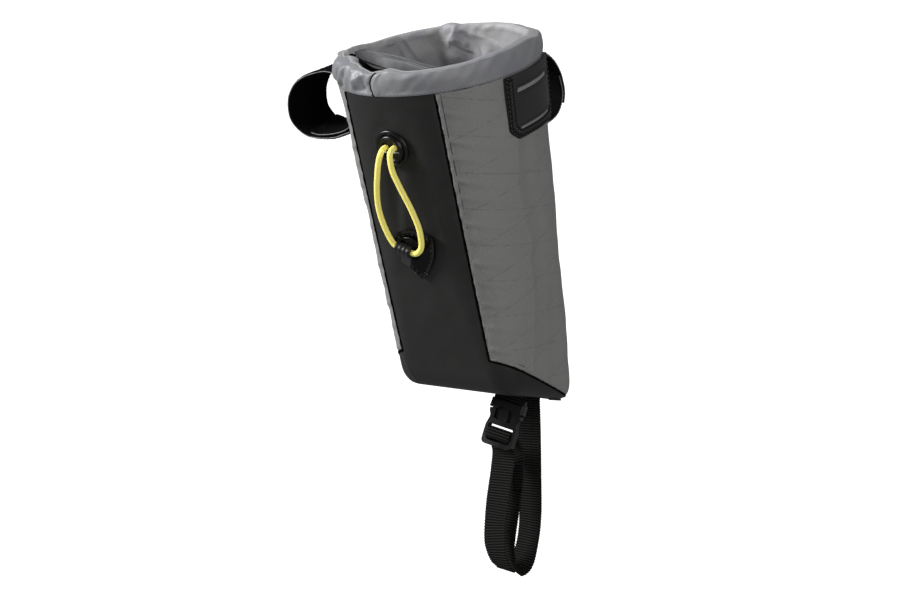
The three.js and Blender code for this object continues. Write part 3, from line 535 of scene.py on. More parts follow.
@dataclass(frozen=True)
class Fold:
    """A fold in cloth: a line over flat places, listed downwards, its height and its reach to each side."""

    line: tuple[Pair, ...]
    height: float
    left: float
    right: float
    sharp: float = 1.3

    def lift(self, x: Array, y: Array) -> Array:
        """The fold's height at flat places.

        It is e to the minus power of the distance from the line over the reach, where the reach is left
        on the side of smaller x and right on the other, and it eases to zero towards the line's ends.

        Args:
            x: first flat coordinate.
            y: second flat coordinate.

        Returns:
            Heights, of the shape of x and y together.
        """
        knots = np.array(self.line, float)
        starts = running(knots)
        x, y = np.broadcast_arrays(np.asarray(x, float), np.asarray(y, float))
        best = np.full(x.shape, 1e9)
        signed, run = np.zeros(x.shape), np.zeros(x.shape)
        for (ax, ay), (bx, by), length, start in zip(knots[:-1], knots[1:], np.diff(starts), starts):
            ex, ey = (bx - ax) / length, (by - ay) / length
            along = np.clip((x - ax) * ex + (y - ay) * ey, 0, length)
            away = np.hypot(x - ax - along * ex, y - ay - along * ey)
            nearer = away < best
            side = np.sign(ex * (y - ay) - ey * (x - ax))
            best = np.where(nearer, away, best)
            signed, run = np.where(nearer, side, signed), np.where(nearer, start + along, run)
        reach = np.where(signed < 0, self.left, self.right)
        share = run / starts[-1]
        ends = smooth(-0.02, 0.22, share) * smooth(1.02, 0.75, share)
        return self.height * np.exp(-((best / reach) ** self.sharp)) * ends


def folded(folds: Sequence[Fold], x: Array, y: Array) -> Array:
    """The heights of several folds, added up."""
    return sum((fold.lift(x, y) for fold in folds), np.zeros(np.broadcast(x, y).shape))


# The pouch's own form, as the solids have it


@dataclass(frozen=True)
class Form:
    """The pouch's wall: rounded rectangles that shrink towards a slanted base with a round edge."""

    mouth: Triple = (52.5, 52.5, 52.4)
    base: Triple = (37.0, 30.0, 11.0)
    front_height: float = 165.7
    base_slant: float = 29.0
    base_forward: float = 4.5
    round_in: float = 6.5
    round_up: float = 10.0
    front_half: float = 28.0
    side_seam_rise: float = 18.4

    def section(self, share: Array) -> tuple[Array, Array, Array, Array]:
        """Half width, half depth, corner radius and middle at a share of the height below the mouth."""
        half_w, half_d, corner = (a + (b - a) * share for a, b in zip(self.mouth, self.base))
        return half_w, half_d, corner, -self.base_forward * share

    def wall(self, share: Array, turn: Array, inset: Number = 0.0, rise: float = 0.0) -> Array:
        """Points of the wall: the reach of a rounded rectangle in the direction turn.

        Args:
            share: share of the height below the mouth, 0 to 1.
            turn: direction in radians, 0 at the front and a quarter turn at the right.
            inset: distance inwards from the outer face.
            rise: distance upwards.

        Returns:
            Points (..., 3).
        """
        share, turn = np.broadcast_arrays(np.asarray(share, float), np.asarray(turn, float))
        half_w, half_d, corner, middle = self.section(share)
        above = np.clip((1 - share) * self.front_height / self.round_up, 0, 1)
        off = inset + self.round_in * (1 - np.sqrt(np.maximum(1 - (1 - above) ** 2, 0)))
        w, d, r = half_w - off, half_d - off, np.maximum(corner - off, 1)
        across, along = np.abs(np.sin(turn)), np.abs(np.cos(turn))
        reach = np.minimum(w / np.maximum(across, 1e-9), d / np.maximum(along, 1e-9))
        cx, cy = w - r, d - r
        on_corner = (across * reach > cx) & (along * reach > cy)
        to_corner = across * cx + along * cy
        bent = to_corner + np.sqrt(np.maximum(r**2 - cx**2 - cy**2 + to_corner**2, 0))
        reach = np.where(on_corner, bent, reach)
        x, y = np.sin(turn) * reach, -np.cos(turn) * reach
        slant = self.base_slant * share * (y + half_d) / (2 * half_d)
        return np.stack([x, y + middle, -self.front_height * share - slant + rise], -1)

    def seam_height(self, y: Array) -> Array:
        """Height of the slanted side seam at y: a line from the front corner down to the base's back.

        Args:
            y: distance back from the axis.

        Returns:
            Heights, negative below the mouth.
        """
        front, back = -self.base_forward - self.base[1], -self.base_forward + self.base[1]
        low = -self.front_height + self.side_seam_rise
        return low + (-self.front_height - self.base_slant - low) * (y - front) / (back - front)

    def front_turn(self, share: Array) -> Array:
        """Direction in which the front panel's edge lies: where the wall's x is the panel's half width.

        Args:
            share: share of the height below the mouth.

        Returns:
            Directions in radians, found by halving.
        """
        low = np.zeros(np.shape(share))
        high = np.full(np.shape(share), 1.2)
        for _ in range(40):
            middle = (low + high) / 2
            inside = self.wall(share, middle)[..., 0] < self.front_half
            low, high = np.where(inside, middle, low), np.where(inside, high, middle)
        return low

    def corner_share(self) -> float:
        """Share at which the front seam meets the slanted seam.

        Returns:
            The first of many close shares whose point lies below the slanted seam.
        """
        shares = np.linspace(0.7, 1, 4001)
        points = self.wall(shares, self.front_turn(shares))
        return float(shares[np.argmax(points[:, 2] < self.seam_height(points[:, 1]))])

    def seam_share(self, turn: Array) -> Array:
        """Share at which the wall in the direction turn meets the slanted seam.

        Args:
            turn: direction in radians.

        Returns:
            Shares of the height, found by halving.
        """
        low = np.full(np.shape(turn), 0.8)
        high = np.ones(np.shape(turn))
        for _ in range(40):
            middle = (low + high) / 2
            point = self.wall(middle, turn)
            above = point[..., 2] > self.seam_height(point[..., 1])
            low, high = np.where(above, middle, low), np.where(above, high, middle)
        return low

    def on_face(self, face: Face, sideways: Array, height: Array, stand: Number) -> Array:
        """Points on a side of the pouch, at a sideways place and a height, off the wall by stand.

        Args:
            face: the side.
            sideways: distance along the side's sideways direction.
            height: height, zero at the mouth and negative below it.
            stand: distance off the wall.

        Returns:
            Points (..., 3).
        """
        out, side = face.out, face.side
        faces_x = abs(out[0]) > 0
        values = [np.asarray(v, float) for v in (sideways, height, stand)]
        sideways, height, stand = np.broadcast_arrays(*values)
        share = -height / self.front_height
        for _ in range(5):
            half_w, half_d, corner, middle = self.section(share)
            half, flat = (half_w, half_d - corner) if faces_x else (half_d, half_w - corner)
            shift = middle * np.sign(side[1]) if faces_x else 0 * middle
            offset = sideways - shift
            beyond = np.maximum(np.abs(offset) - flat, 0) * np.sign(offset)
            lean = np.arcsin(np.clip(beyond / corner, -1, 1))
            depth = half - corner + (corner + stand) * np.cos(lean)
            across = sideways + stand * np.sin(lean)
            point = depth[..., None] * out + across[..., None] * side
            if not faces_x:
                point[..., 1] += middle
            point[..., 2] = height
            slant = self.base_slant * ((point[..., 1] - middle + half_d) / (2 * half_d))
            share = -height / (self.front_height + slant)
        return point


FORM = Form()


# Shader groups and finishes


class Tree:
    """A node tree with short ways to add nodes and join them."""

    def __init__(self, tree: bpy.types.NodeTree) -> None:
        """Keeps the tree and its nodes."""
        self.tree = tree

    def node(self, kind: str, **settings: object) -> bpy.types.Node:
        """Adds a node.

        Args:
            kind: the node's type name.
            settings: its properties.

        Returns:
            The node.
        """
        made = self.tree.nodes.new(kind)
        for name, value in settings.items():
            setattr(made, name, value)
        return made

    def feed(self, socket: Socket, value: object) -> None:
        """Joins an output to a socket, or sets the socket's own value.

        Args:
            socket: the input.
            value: an output, or a plain value.
        """
        if isinstance(value, Socket):
            self.tree.links.new(value, socket)
        else:
            socket.default_value = value

    def math(self, operation: str, *values: object, clamp: bool = False) -> Socket:
        """Adds a Math node.

        Args:
            operation: the node's operation.
            values: its inputs, as outputs or numbers.
            clamp: whether the result is kept from 0 to 1.

        Returns:
            Its output.
        """
        made = self.node("ShaderNodeMath", operation=operation, use_clamp=clamp)
        for socket, value in zip(made.inputs, values):
            self.feed(socket, value)
        return made.outputs[0]

    def noise(self, vector: object, scale: float, detail: float = 2.0, rough: float = 0.5) -> Socket:
        """Adds a Noise node.

        Args:
            vector: where the pattern is read.
            scale: its scale.
            detail: its detail.
            rough: its roughness.

        Returns:
            Its factor, 0 to 1.
        """
        made = self.node("ShaderNodeTexNoise")
        self.feed(made.inputs["Vector"], vector)
        made.inputs["Scale"].default_value = scale
        made.inputs["Detail"].default_value = detail
        made.inputs["Roughness"].default_value = rough
        return made.outputs["Fac"]

    def turned(self, vector: object, turn: float, shift: Triple = (0, 0, 0)) -> Socket:
        """A vector turned about Z and then moved, by a Mapping node.

        Args:
            vector: the vector.
            turn: angle in radians.
            shift: how far it is moved.

        Returns:
            The turned vector.
        """
        made = self.node("ShaderNodeMapping", vector_type="POINT")
        self.feed(made.inputs["Vector"], vector)
        made.inputs["Rotation"].default_value = (0, 0, turn)
        made.inputs["Location"].default_value = shift
        return made.outputs[0]

    def ramp(self, value: object, low: float, high: float, to_low: float, to_high: float) -> Socket:
        """A Map Range node from low..high to to_low..to_high, clamped.

        Args:
            value: what is mapped.
            low: where the ramp starts.
            high: where it ends.
            to_low: the result at its start.
            to_high: the result at its end.

        Returns:
            The result.
        """
        made = self.node("ShaderNodeMapRange")
        for name, number in (("From Min", low), ("From Max", high), ("To Min", to_low), ("To Max", to_high)):
            made.inputs[name].default_value = number
        self.feed(made.inputs["Value"], value)
        return made.outputs["Result"]

    def mix(self, share: object, a: object, b: object) -> Socket:
        """A colour mixed from a to b by share.

        Args:
            share: how much of b.
            a: the colour at zero.
            b: the colour at one.

        Returns:
            The mixed colour.
        """
        made = self.node("ShaderNodeMix", data_type="RGBA")
        self.feed(made.inputs["Factor"], share)
        self.feed(made.inputs[6], a)
        self.feed(made.inputs[7], b)
        return made.outputs[2]


def group(
    name: str, inputs: Sequence[str], outputs: Sequence[str], build: Callable[..., Sequence[object]]
) -> bpy.types.NodeTree:
    """A shader group with a vector input, then number inputs.

    Args:
        name: the group's name.
        inputs: names of the number inputs.
        outputs: names of the outputs, all numbers.
        build: makes the nodes from a Tree, the vector and the inputs, and returns the outputs.

    Returns:
        The group.
    """
    tree = bpy.data.node_groups.new(name, "ShaderNodeTree")
    tree.interface.new_socket("Vector", in_out="INPUT", socket_type="NodeSocketVector")
    for label in inputs:
        tree.interface.new_socket(label, in_out="INPUT", socket_type="NodeSocketFloat")
    for label in outputs:
        tree.interface.new_socket(label, in_out="OUTPUT", socket_type="NodeSocketFloat")
    source, sink = tree.nodes.new("NodeGroupInput"), tree.nodes.new("NodeGroupOutput")
    made = build(Tree(tree), source.outputs[0], *source.outputs[1 : 1 + len(inputs)])
    for socket, value in zip(sink.inputs, made):
        tree.links.new(value, socket)
    return tree


def plain_weave(t: Tree, vector: object, pitch: object) -> Sequence[object]:
    """Threads over and under: the product of two sine waves, and their checker as a mask.

    Args:
        t: the group's tree.
        vector: where the pattern is read.
        pitch: distance from one thread to the next.

    Returns:
        The threads' height, and the mask.
    """
    split = t.node("ShaderNodeSeparateXYZ")
    t.feed(split.inputs[0], vector)
    turns = [t.math("DIVIDE", split.outputs[axis], pitch) for axis in (0, 1)]
    waves = [t.math("SINE", t.math("MULTIPLY", turn, math.pi)) for turn in turns]
    over = t.math("MULTIPLY", *waves)
    return t.math("ABSOLUTE", over), t.ramp(over, -0.4, 0.4, 0, 1)


def grid_lines(t: Tree, vector: object, spacing: object, width: object) -> Sequence[object]:
    """Thin lines at each spacing along the second coordinate: one on a line and zero off it.

    Args:
        t: the group's tree.
        vector: where the pattern is read.
        spacing: distance from one line to the next.
        width: half a line's width.

    Returns:
        The lines' mask alone.
    """
    split = t.node("ShaderNodeSeparateXYZ")
    t.feed(split.inputs[0], vector)
    part = t.math("FRACT", t.math("DIVIDE", split.outputs[1], spacing))
    off = t.math("MULTIPLY", t.math("ABSOLUTE", t.math("SUBTRACT", part, 0.5)), spacing)
    return (t.math("SUBTRACT", 1.0, t.math("DIVIDE", off, width), clamp=True),)


def soft_wear(t: Tree, vector: object, size: object, strength: object) -> Sequence[object]:
    """Two sizes of noise that vary a tone, centred on zero, and the fine one alone.

    Args:
        t: the group's tree.
        vector: where the noise is read.
        size: usual size of the larger noise.
        strength: how strong both are.

    Returns:
        The tone and the fine noise.
    """
    made = []
    for times, detail in ((1.0, 3.0), (6.0, 2.0)):
        node = t.node("ShaderNodeTexNoise")
        t.feed(node.inputs["Vector"], vector)
        t.feed(node.inputs["Scale"], t.math("DIVIDE", times, size))
        node.inputs["Detail"].default_value = detail
        made.append(t.math("SUBTRACT", node.outputs["Fac"], 0.5))
    total = t.math("ADD", made[0], t.math("MULTIPLY", made[1], 0.4))
    return t.math("MULTIPLY", total, strength), t.math("MULTIPLY", made[1], strength)


def braided(t: Tree, vector: object, pitch: object, strands: object) -> Sequence[object]:
    """Strands that wind both ways round a cord: the higher of two slanted sine waves.

    Args:
        t: the group's tree.
        vector: where the pattern is read.
        pitch: length along the cord of one wave.
        strands: waves for a unit round it.

    Returns:
        The strands' height, and a mask of those that lie over.
    """
    split = t.node("ShaderNodeSeparateXYZ")
    t.feed(split.inputs[0], vector)
    along = t.math("DIVIDE", split.outputs[1], pitch)
    around = t.math("MULTIPLY", split.outputs[0], strands)
    turns = [t.math(way, along, around) for way in ("ADD", "SUBTRACT")]
    waves = [t.math("SINE", t.math("MULTIPLY", turn, 2 * math.pi)) for turn in turns]
    return t.math("MAXIMUM", *waves), t.ramp(t.math("SUBTRACT", *waves), -0.5, 0.5, 0, 1)


GROUPS = {
    "weave": group("plain_weave", ["Pitch"], ["Height", "Over"], plain_weave),
    "lines": group("grid_lines", ["Spacing", "Width"], ["Line"], grid_lines),
    "wear": group("soft_wear", ["Size", "Strength"], ["Tone", "Fine"], soft_wear),
    "braid": group("braided", ["Pitch", "Strands"], ["Height", "Over"], braided),
}


class Dye:
    """A material in the making: its Principled shader, its tree and where patterns are read."""

    def __init__(self, name: str, rough: float, specular: float, sheen: float) -> None:
        """Makes the material with the plain values of its shader.

        Args:
            name: the material's name.
            rough: its roughness.
            specular: its specular level.
            sheen: its sheen.
        """
        self.material = bpy.data.materials.new(name)
        self.material.use_nodes = True
        self.t = Tree(self.material.node_tree)
        self.shader = self.t.tree.nodes["Principled BSDF"]
        for label, value in (("Roughness", rough), ("Specular IOR Level", specular), ("Sheen Weight", sheen)):
            self.shader.inputs[label].default_value = value
        coordinates = self.t.node("ShaderNodeTexCoord")
        self.flat = coordinates.outputs["UV"]
        self.place = coordinates.outputs["Object"]
        self.height: object = None

    def use(self, name: str, vector: object, *values: float) -> Sequence[Socket]:
        """Places a shared group.

        Args:
            name: which of GROUPS.
            vector: where its pattern is read.
            values: its number inputs.

        Returns:
            The group's outputs.
        """
        made = self.t.node("ShaderNodeGroup")
        made.node_tree = GROUPS[name]
        self.t.feed(made.inputs[0], vector)
        for socket, value in zip(made.inputs[1:], values):
            socket.default_value = value
        return list(made.outputs)

    def raise_by(self, height: object, share: float) -> None:
        """Adds a height, in millimetres, to the relief."""
        lifted = self.t.math("MULTIPLY", height, share)
        self.height = lifted if self.height is None else self.t.math("ADD", self.height, lifted)

    def done(self, strength: float = 1.0) -> bpy.types.Material:
        """Joins the relief to the shader's normal and returns the material.

        Args:
            strength: strength of the relief.

        Returns:
            The material.
        """
        if self.height is not None:
            node = self.t.node("ShaderNodeBump")
            node.inputs["Distance"].default_value = 0.001
            node.inputs["Strength"].default_value = strength
            self.t.feed(node.inputs["Height"], self.height)
            self.t.feed(self.shader.inputs["Normal"], node.outputs[0])
        return self.material

    def colour(self, base: Triple, *shades: tuple[object, Triple]) -> None:
        """Mixes shades over a base colour, each by its own mask.

        Args:
            base: the base colour.
            shades: pairs of a mask and the colour that it brings.
        """
        value: object = (*base, 1.0)
        for mask, shade in shades:
            value = self.t.mix(mask, value, (*shade, 1.0))
        self.t.feed(self.shader.inputs["Base Color"], value)

    def roughness(self, value: object) -> None:
        """Joins a varying roughness."""
        self.t.feed(self.shader.inputs["Roughness"], value)


@dataclass(frozen=True)
class Finish:
    """What every finish has: a name, its main colour and the plain values of its shader."""

    name: str
    tone: Triple
    rough: float
    specular: float = 0.4
    sheen: float = 0.0

    def dye(self) -> Dye:
        """The material in the making."""
        return Dye(self.name, self.rough, self.specular, self.sheen)

    def shade(self, times: float, blue: float = 1.0) -> Triple:
        """The main colour made lighter or darker, and bluer."""
        r, g, b = (min(c * times, 1.0) for c in self.tone)
        return r, g, min(b * blue, 1.0)


@dataclass(frozen=True)
class LaminateCloth(Finish):
    """Gray laminate: a fine weave under film, speckled, with two crossing sets of faint broken threads."""

    def material(self) -> bpy.types.Material:
        """Builds the material.

        Returns:
            The material.
        """
        d = self.dye()
        tone, fine = d.use("wear", d.flat, 26.0, 1.0)
        speck = d.t.noise(d.flat, 1.1, 3.0, 0.7)
        weave, over = d.use("weave", d.flat, 0.62)
        falling = d.use("lines", d.t.turned(d.flat, math.radians(15.7), (0, 6.25, 0)), 18.3, 0.55)[0]
        rising = d.use("lines", d.t.turned(d.flat, math.radians(-16.2), (0, 1.9, 0)), 19.2, 0.5)[0]
        broken = d.t.ramp(d.t.noise(d.flat, 0.25, 3.0), 0.42, 0.6, 0.1, 1)
        lines = d.t.math("MULTIPLY", d.t.math("MAXIMUM", falling, rising), broken)
        d.colour(
            self.tone,
            (d.t.math("MULTIPLY", over, 0.25), self.shade(0.88)),
            (d.t.ramp(tone, -0.25, 0.25, 0, 0.6), self.shade(1.1, 0.98)),
            (d.t.ramp(speck, 0.5, 0.72, 0, 0.5), self.shade(0.72)),
            (d.t.ramp(speck, 0.5, 0.3, 0, 0.45), self.shade(1.25)),
            (d.t.math("MULTIPLY", lines, 0.5), self.shade(0.5)),
        )
        d.roughness(d.t.ramp(tone, -0.3, 0.3, self.rough - 0.06, self.rough + 0.08))
        d.raise_by(weave, 0.05)
        d.raise_by(speck, 0.08)
        d.raise_by(lines, -0.03)
        d.raise_by(fine, 0.2)
        return d.done(0.6)


@dataclass(frozen=True)
class PanelCloth(Finish):
    """Smooth satin black laminate, with a faint grain and soft lighter rubs."""

    def material(self) -> bpy.types.Material:
        """Builds the material.

        Returns:
            The material.
        """
        d = self.dye()
        tone, fine = d.use("wear", d.flat, 34.0, 1.0)
        weave, over = d.use("weave", d.flat, 0.4)
        speck = d.t.noise(d.flat, 1.4, 2.0, 0.6)
        d.colour(
            self.tone,
            (d.t.ramp(tone, -0.25, 0.3, 0, 0.7), self.shade(1.35)),
            (d.t.math("MULTIPLY", over, 0.3), self.shade(0.85)),
            (d.t.ramp(speck, 0.5, 0.75, 0, 0.4), self.shade(0.7)),
        )
        d.roughness(d.t.ramp(tone, -0.3, 0.3, self.rough - 0.05, self.rough + 0.1))
        d.raise_by(weave, 0.03)
        d.raise_by(fine, 0.16)
        return d.done(0.5)


@dataclass(frozen=True)
class NylonCloth(Finish):
    """Gray coated nylon: tight threads, a soft sheen, and darker, slightly blue clouds that paint the
    coating's iridescent sheen.
    """

    def material(self) -> bpy.types.Material:
        """Builds the material.

        Returns:
            The material.
        """
        d = self.dye()
        tone, fine = d.use("wear", d.place, 0.02, 1.0)
        sheen_cloud = d.t.noise(d.place, 70.0, 2.0)
        weave, over = d.use("weave", d.flat, 0.4)
        d.colour(
            self.tone,
            # Darker, bluer clouds: painted iridescent sheen of the coated nylon
            (d.t.ramp(sheen_cloud, 0.4, 0.62, 0, 0.85), self.shade(0.9, 1.12)),
            (d.t.math("MULTIPLY", over, 0.3), self.shade(0.85)),
            (d.t.ramp(tone, -0.3, 0.3, 0, 0.6), self.shade(1.16, 0.98)),
        )
        d.roughness(d.t.ramp(tone, -0.3, 0.3, self.rough - 0.05, self.rough + 0.1))
        d.raise_by(weave, 0.03)
        d.raise_by(fine, 0.3)
        return d.done(0.6)


@dataclass(frozen=True)
class PatchSheet(Finish):
    """Black rubberised sheet with a leathery grain."""

    def material(self) -> bpy.types.Material:
        """Builds the material.

        Returns:
            The material.
        """
        d = self.dye()
        tone, fine = d.use("wear", d.place, 0.015, 1.0)
        grain = d.t.noise(d.place, 1500.0, 2.0)
        d.colour(self.tone, (d.t.ramp(tone, -0.25, 0.25, 0, 0.6), self.shade(1.5)))
        d.roughness(d.t.ramp(grain, 0.3, 0.7, self.rough - 0.06, self.rough + 0.1))
        d.raise_by(grain, 0.1)
        d.raise_by(fine, 0.1)
        return d.done(0.5)


@dataclass(frozen=True)
class WovenTape(Finish):
    """Black woven tape: slanted threads, a little nap."""

    def material(self) -> bpy.types.Material:
        """Builds the material.

        Returns:
            The material.
        """
        d = self.dye()
        weave, over = d.use("weave", d.t.turned(d.flat, math.radians(38)), 0.55)
        tone, _ = d.use("wear", d.flat, 6.0, 1.0)
        d.colour(
            self.tone,
            (d.t.math("MULTIPLY", over, 0.6), self.shade(2.2)),
            (d.t.ramp(tone, 0, 0.3, 0, 0.5), self.shade(1.6)),
        )
        d.raise_by(weave, 0.2)
        return d.done(0.8)


@dataclass(frozen=True)
class HookTape(Finish):
    """Black hook-and-loop tape: a matt nap of fine loops."""

    def material(self) -> bpy.types.Material:
        """Builds the material.

        Returns:
            The material.
        """
        d = self.dye()
        nap = d.t.noise(d.flat, 2.4, 4.0, 0.7)
        tone, _ = d.use("wear", d.flat, 9.0, 1.0)
        d.colour(
            self.tone,
            (d.t.ramp(nap, 0.52, 0.75, 0, 0.7), self.shade(4.5, 1.1)),
            (d.t.ramp(tone, 0, 0.3, 0, 0.4), self.shade(2.2, 1.1)),
        )
        d.raise_by(nap, 0.7)
        return d.done(0.9)


@dataclass(frozen=True)
class Webbing(Finish):
    """Black webbing: fine twisted threads along the ribs that the mesh carries, with a painted highlight
    along each rib's crest.
    """

    def material(self) -> bpy.types.Material:
        """Builds the material.

        Returns:
            The material.
        """
        d = self.dye()
        tone, _ = d.use("wear", d.flat, 12.0, 1.0)
        weave, over = d.use("weave", d.t.turned(d.flat, math.radians(45)), 0.5)
        parts = d.t.node("ShaderNodeSeparateXYZ")
        d.t.feed(parts.inputs[0], d.flat)
        across, along = parts.outputs[0], parts.outputs[1]
        sway = d.t.math("SINE", d.t.math("MULTIPLY", across, math.tau / RIB_SWAY))
        phase = d.t.math("MULTIPLY", along, math.tau / RIB_PITCH)
        phase = d.t.math("ADD", phase, d.t.math("MULTIPLY", sway, 0.45))
        # Lighter crests of the ribs, broken into dots: painted highlight where the ribs catch the light
        crest = d.t.ramp(d.t.math("SINE", phase), 0.1, 0.8, 0, 1)
        glint_dots = d.t.ramp(d.t.math("SINE", d.t.math("MULTIPLY", across, math.tau)), -0.6, 0.5, 0.3, 1)
        d.colour(
            self.tone,
            (d.t.math("MULTIPLY", over, 0.3), self.shade(2.0, 0.92)),
            (d.t.ramp(tone, -0.2, 0.3, 0, 0.5), self.shade(1.5)),
            (d.t.math("MULTIPLY", crest, glint_dots), self.shade(9.0, 0.95)),
        )
        d.raise_by(weave, 0.1)
        return d.done(0.8)


@dataclass(frozen=True)
class MouldedPlastic(Finish):
    """Black moulded plastic with a faint grain and lighter rubs."""

    def material(self) -> bpy.types.Material:
        """Builds the material.

        Returns:
            The material.
        """
        d = self.dye()
        tone, _ = d.use("wear", d.place, 0.006, 1.0)
        grain = d.t.noise(d.place, 3500.0, 2.0)
        d.colour(self.tone, (d.t.ramp(tone, -0.1, 0.35, 0, 0.5), self.shade(1.8)))
        d.roughness(d.t.ramp(tone, -0.3, 0.3, self.rough - 0.05, self.rough + 0.08))
        d.raise_by(grain, 0.03)
        return d.done(0.5)


@dataclass(frozen=True)
class ElasticCord(Finish):
    """Yellow braided elastic: fine strands both ways, with paler and darker yarn, and painted shade in the
    grooves between the strands.
    """

    def material(self) -> bpy.types.Material:
        """Builds the material.

        Returns:
            The material.
        """
        d = self.dye()
        height, over = d.use("braid", d.flat, 1.5, 0.85)
        tone, _ = d.use("wear", d.flat, 5.0, 1.0)
        d.colour(
            self.tone,
            (d.t.math("MULTIPLY", over, 0.35), self.shade(0.88, 0.85)),
            # Darker where the braid is low: painted shade in the grooves between the strands
            (d.t.ramp(height, -0.6, 0.1, 0.4, 0), self.shade(0.68, 0.7)),
            (d.t.ramp(tone, -0.1, 0.3, 0, 0.35), self.shade(1.1, 1.3)),
        )
        d.raise_by(height, 0.07)
        return d.done(0.8)


@dataclass(frozen=True)
class Thread(Finish):
    """Sewing thread: a slight twist in its tone."""

    def material(self) -> bpy.types.Material:
        """Builds the material.

        Returns:
            The material.
        """
        d = self.dye()
        tone, _ = d.use("wear", d.place, 0.0006, 1.0)
        d.colour(self.tone, (d.t.ramp(tone, -0.2, 0.3, 0, 0.6), self.shade(1.7)))
        return d.done()


@dataclass(frozen=True)
class PaleFloor(Finish):
    """The studio's pale floor, which the camera sees a little brighter than it is lit."""

    def material(self) -> bpy.types.Material:
        """Builds the material.

        Returns:
            The material.
        """
        d = self.dye()
        d.colour(self.tone, (d.t.ramp(d.t.noise(d.place, 3.0), 0.3, 0.7, 0, 0.5), self.shade(0.98)))
        d.shader.inputs["Emission Color"].default_value = (1, 1, 1, 1)
        seen = d.t.node("ShaderNodeLightPath").outputs["Is Camera Ray"]
        d.t.feed(d.shader.inputs["Emission Strength"], d.t.math("MULTIPLY", seen, 1.1))
        return d.done()


FINISHES = {
    "laminate": LaminateCloth("laminate_cloth", (0.182, 0.182, 0.179), 0.62, 0.3, 0.05),
    "panel": PanelCloth("panel_cloth", (0.0138, 0.0138, 0.0134), 0.5, 0.22),
    "nylon": NylonCloth("nylon_cloth", (0.186, 0.188, 0.195), 0.44, 0.4, 0.06),
    # The sleeve wears the collar's nylon painted lighter: painted light, for the light that comes through the
    # thin cloth
    "lining": NylonCloth("lining_cloth_painted_glow", (0.265, 0.265, 0.27), 0.5, 0.4, 0.06),
    "band": NylonCloth("band_cloth", (0.07, 0.071, 0.074), 0.55, 0.3, 0.04),
    "rubber": PatchSheet("patch_sheet", (0.017, 0.017, 0.017), 0.42, 0.38),
    "border": WovenTape("woven_border", (0.0045, 0.0045, 0.0045), 0.85, 0.2),
    "hook": HookTape("hook_tape_and_shadow_sheet", (0.0026, 0.0026, 0.0029), 0.95, 0.05),
    "webbing": Webbing("strap_webbing", (0.0036, 0.0036, 0.0035), 0.8, 0.03),
    "satin_plastic": MouldedPlastic("satin_plastic", (0.003, 0.003, 0.003), 0.2, 0.33),
    "gloss_plastic": MouldedPlastic("gloss_plastic", (0.0022, 0.0022, 0.0022), 0.28, 0.3),
    "shield": MouldedPlastic("shield_plastic", (0.002, 0.002, 0.002), 0.3, 0.1),
    "tab": MouldedPlastic("tab_plastic", (0.02, 0.02, 0.02), 0.4, 0.25),
    "lock": MouldedPlastic("lock_plastic", (0.007, 0.007, 0.007), 0.42, 0.25),
    # A pale glossy tone for the rod behind the cord: painted highlight on the grommet's recess
    "glint_rod": MouldedPlastic("glint_rod_plastic", (0.3, 0.3, 0.29), 0.25, 0.5),
    "elastic": ElasticCord("cord_elastic", (1.0, 0.88, 0.21), 0.55, 0.4, 0.08),
    # The gray and black threads also colour the strips along the seams that paint their shadows
    "gray_thread_and_shadow": Thread("gray_thread_and_shadow", (0.055, 0.055, 0.058), 0.6),
    "pale_thread": Thread("pale_thread", (0.14, 0.14, 0.14), 0.6),
    "slot_thread": Thread("slot_thread", (0.035, 0.035, 0.035), 0.6),
    "black_thread_and_shadow": Thread("black_thread_and_shadow", (0.0015, 0.0015, 0.0015), 0.9, 0.02),
}


# Pieces


def put(name: str, data: bpy.types.ID) -> bpy.types.Object:
    """Adds an object with some data to the scene.

    Args:
        name: the object's name.
        data: its mesh, light or camera.

    Returns:
        The object.
    """
    made = bpy.data.objects.new(name, data)
    bpy.context.scene.collection.objects.link(made)
    return made


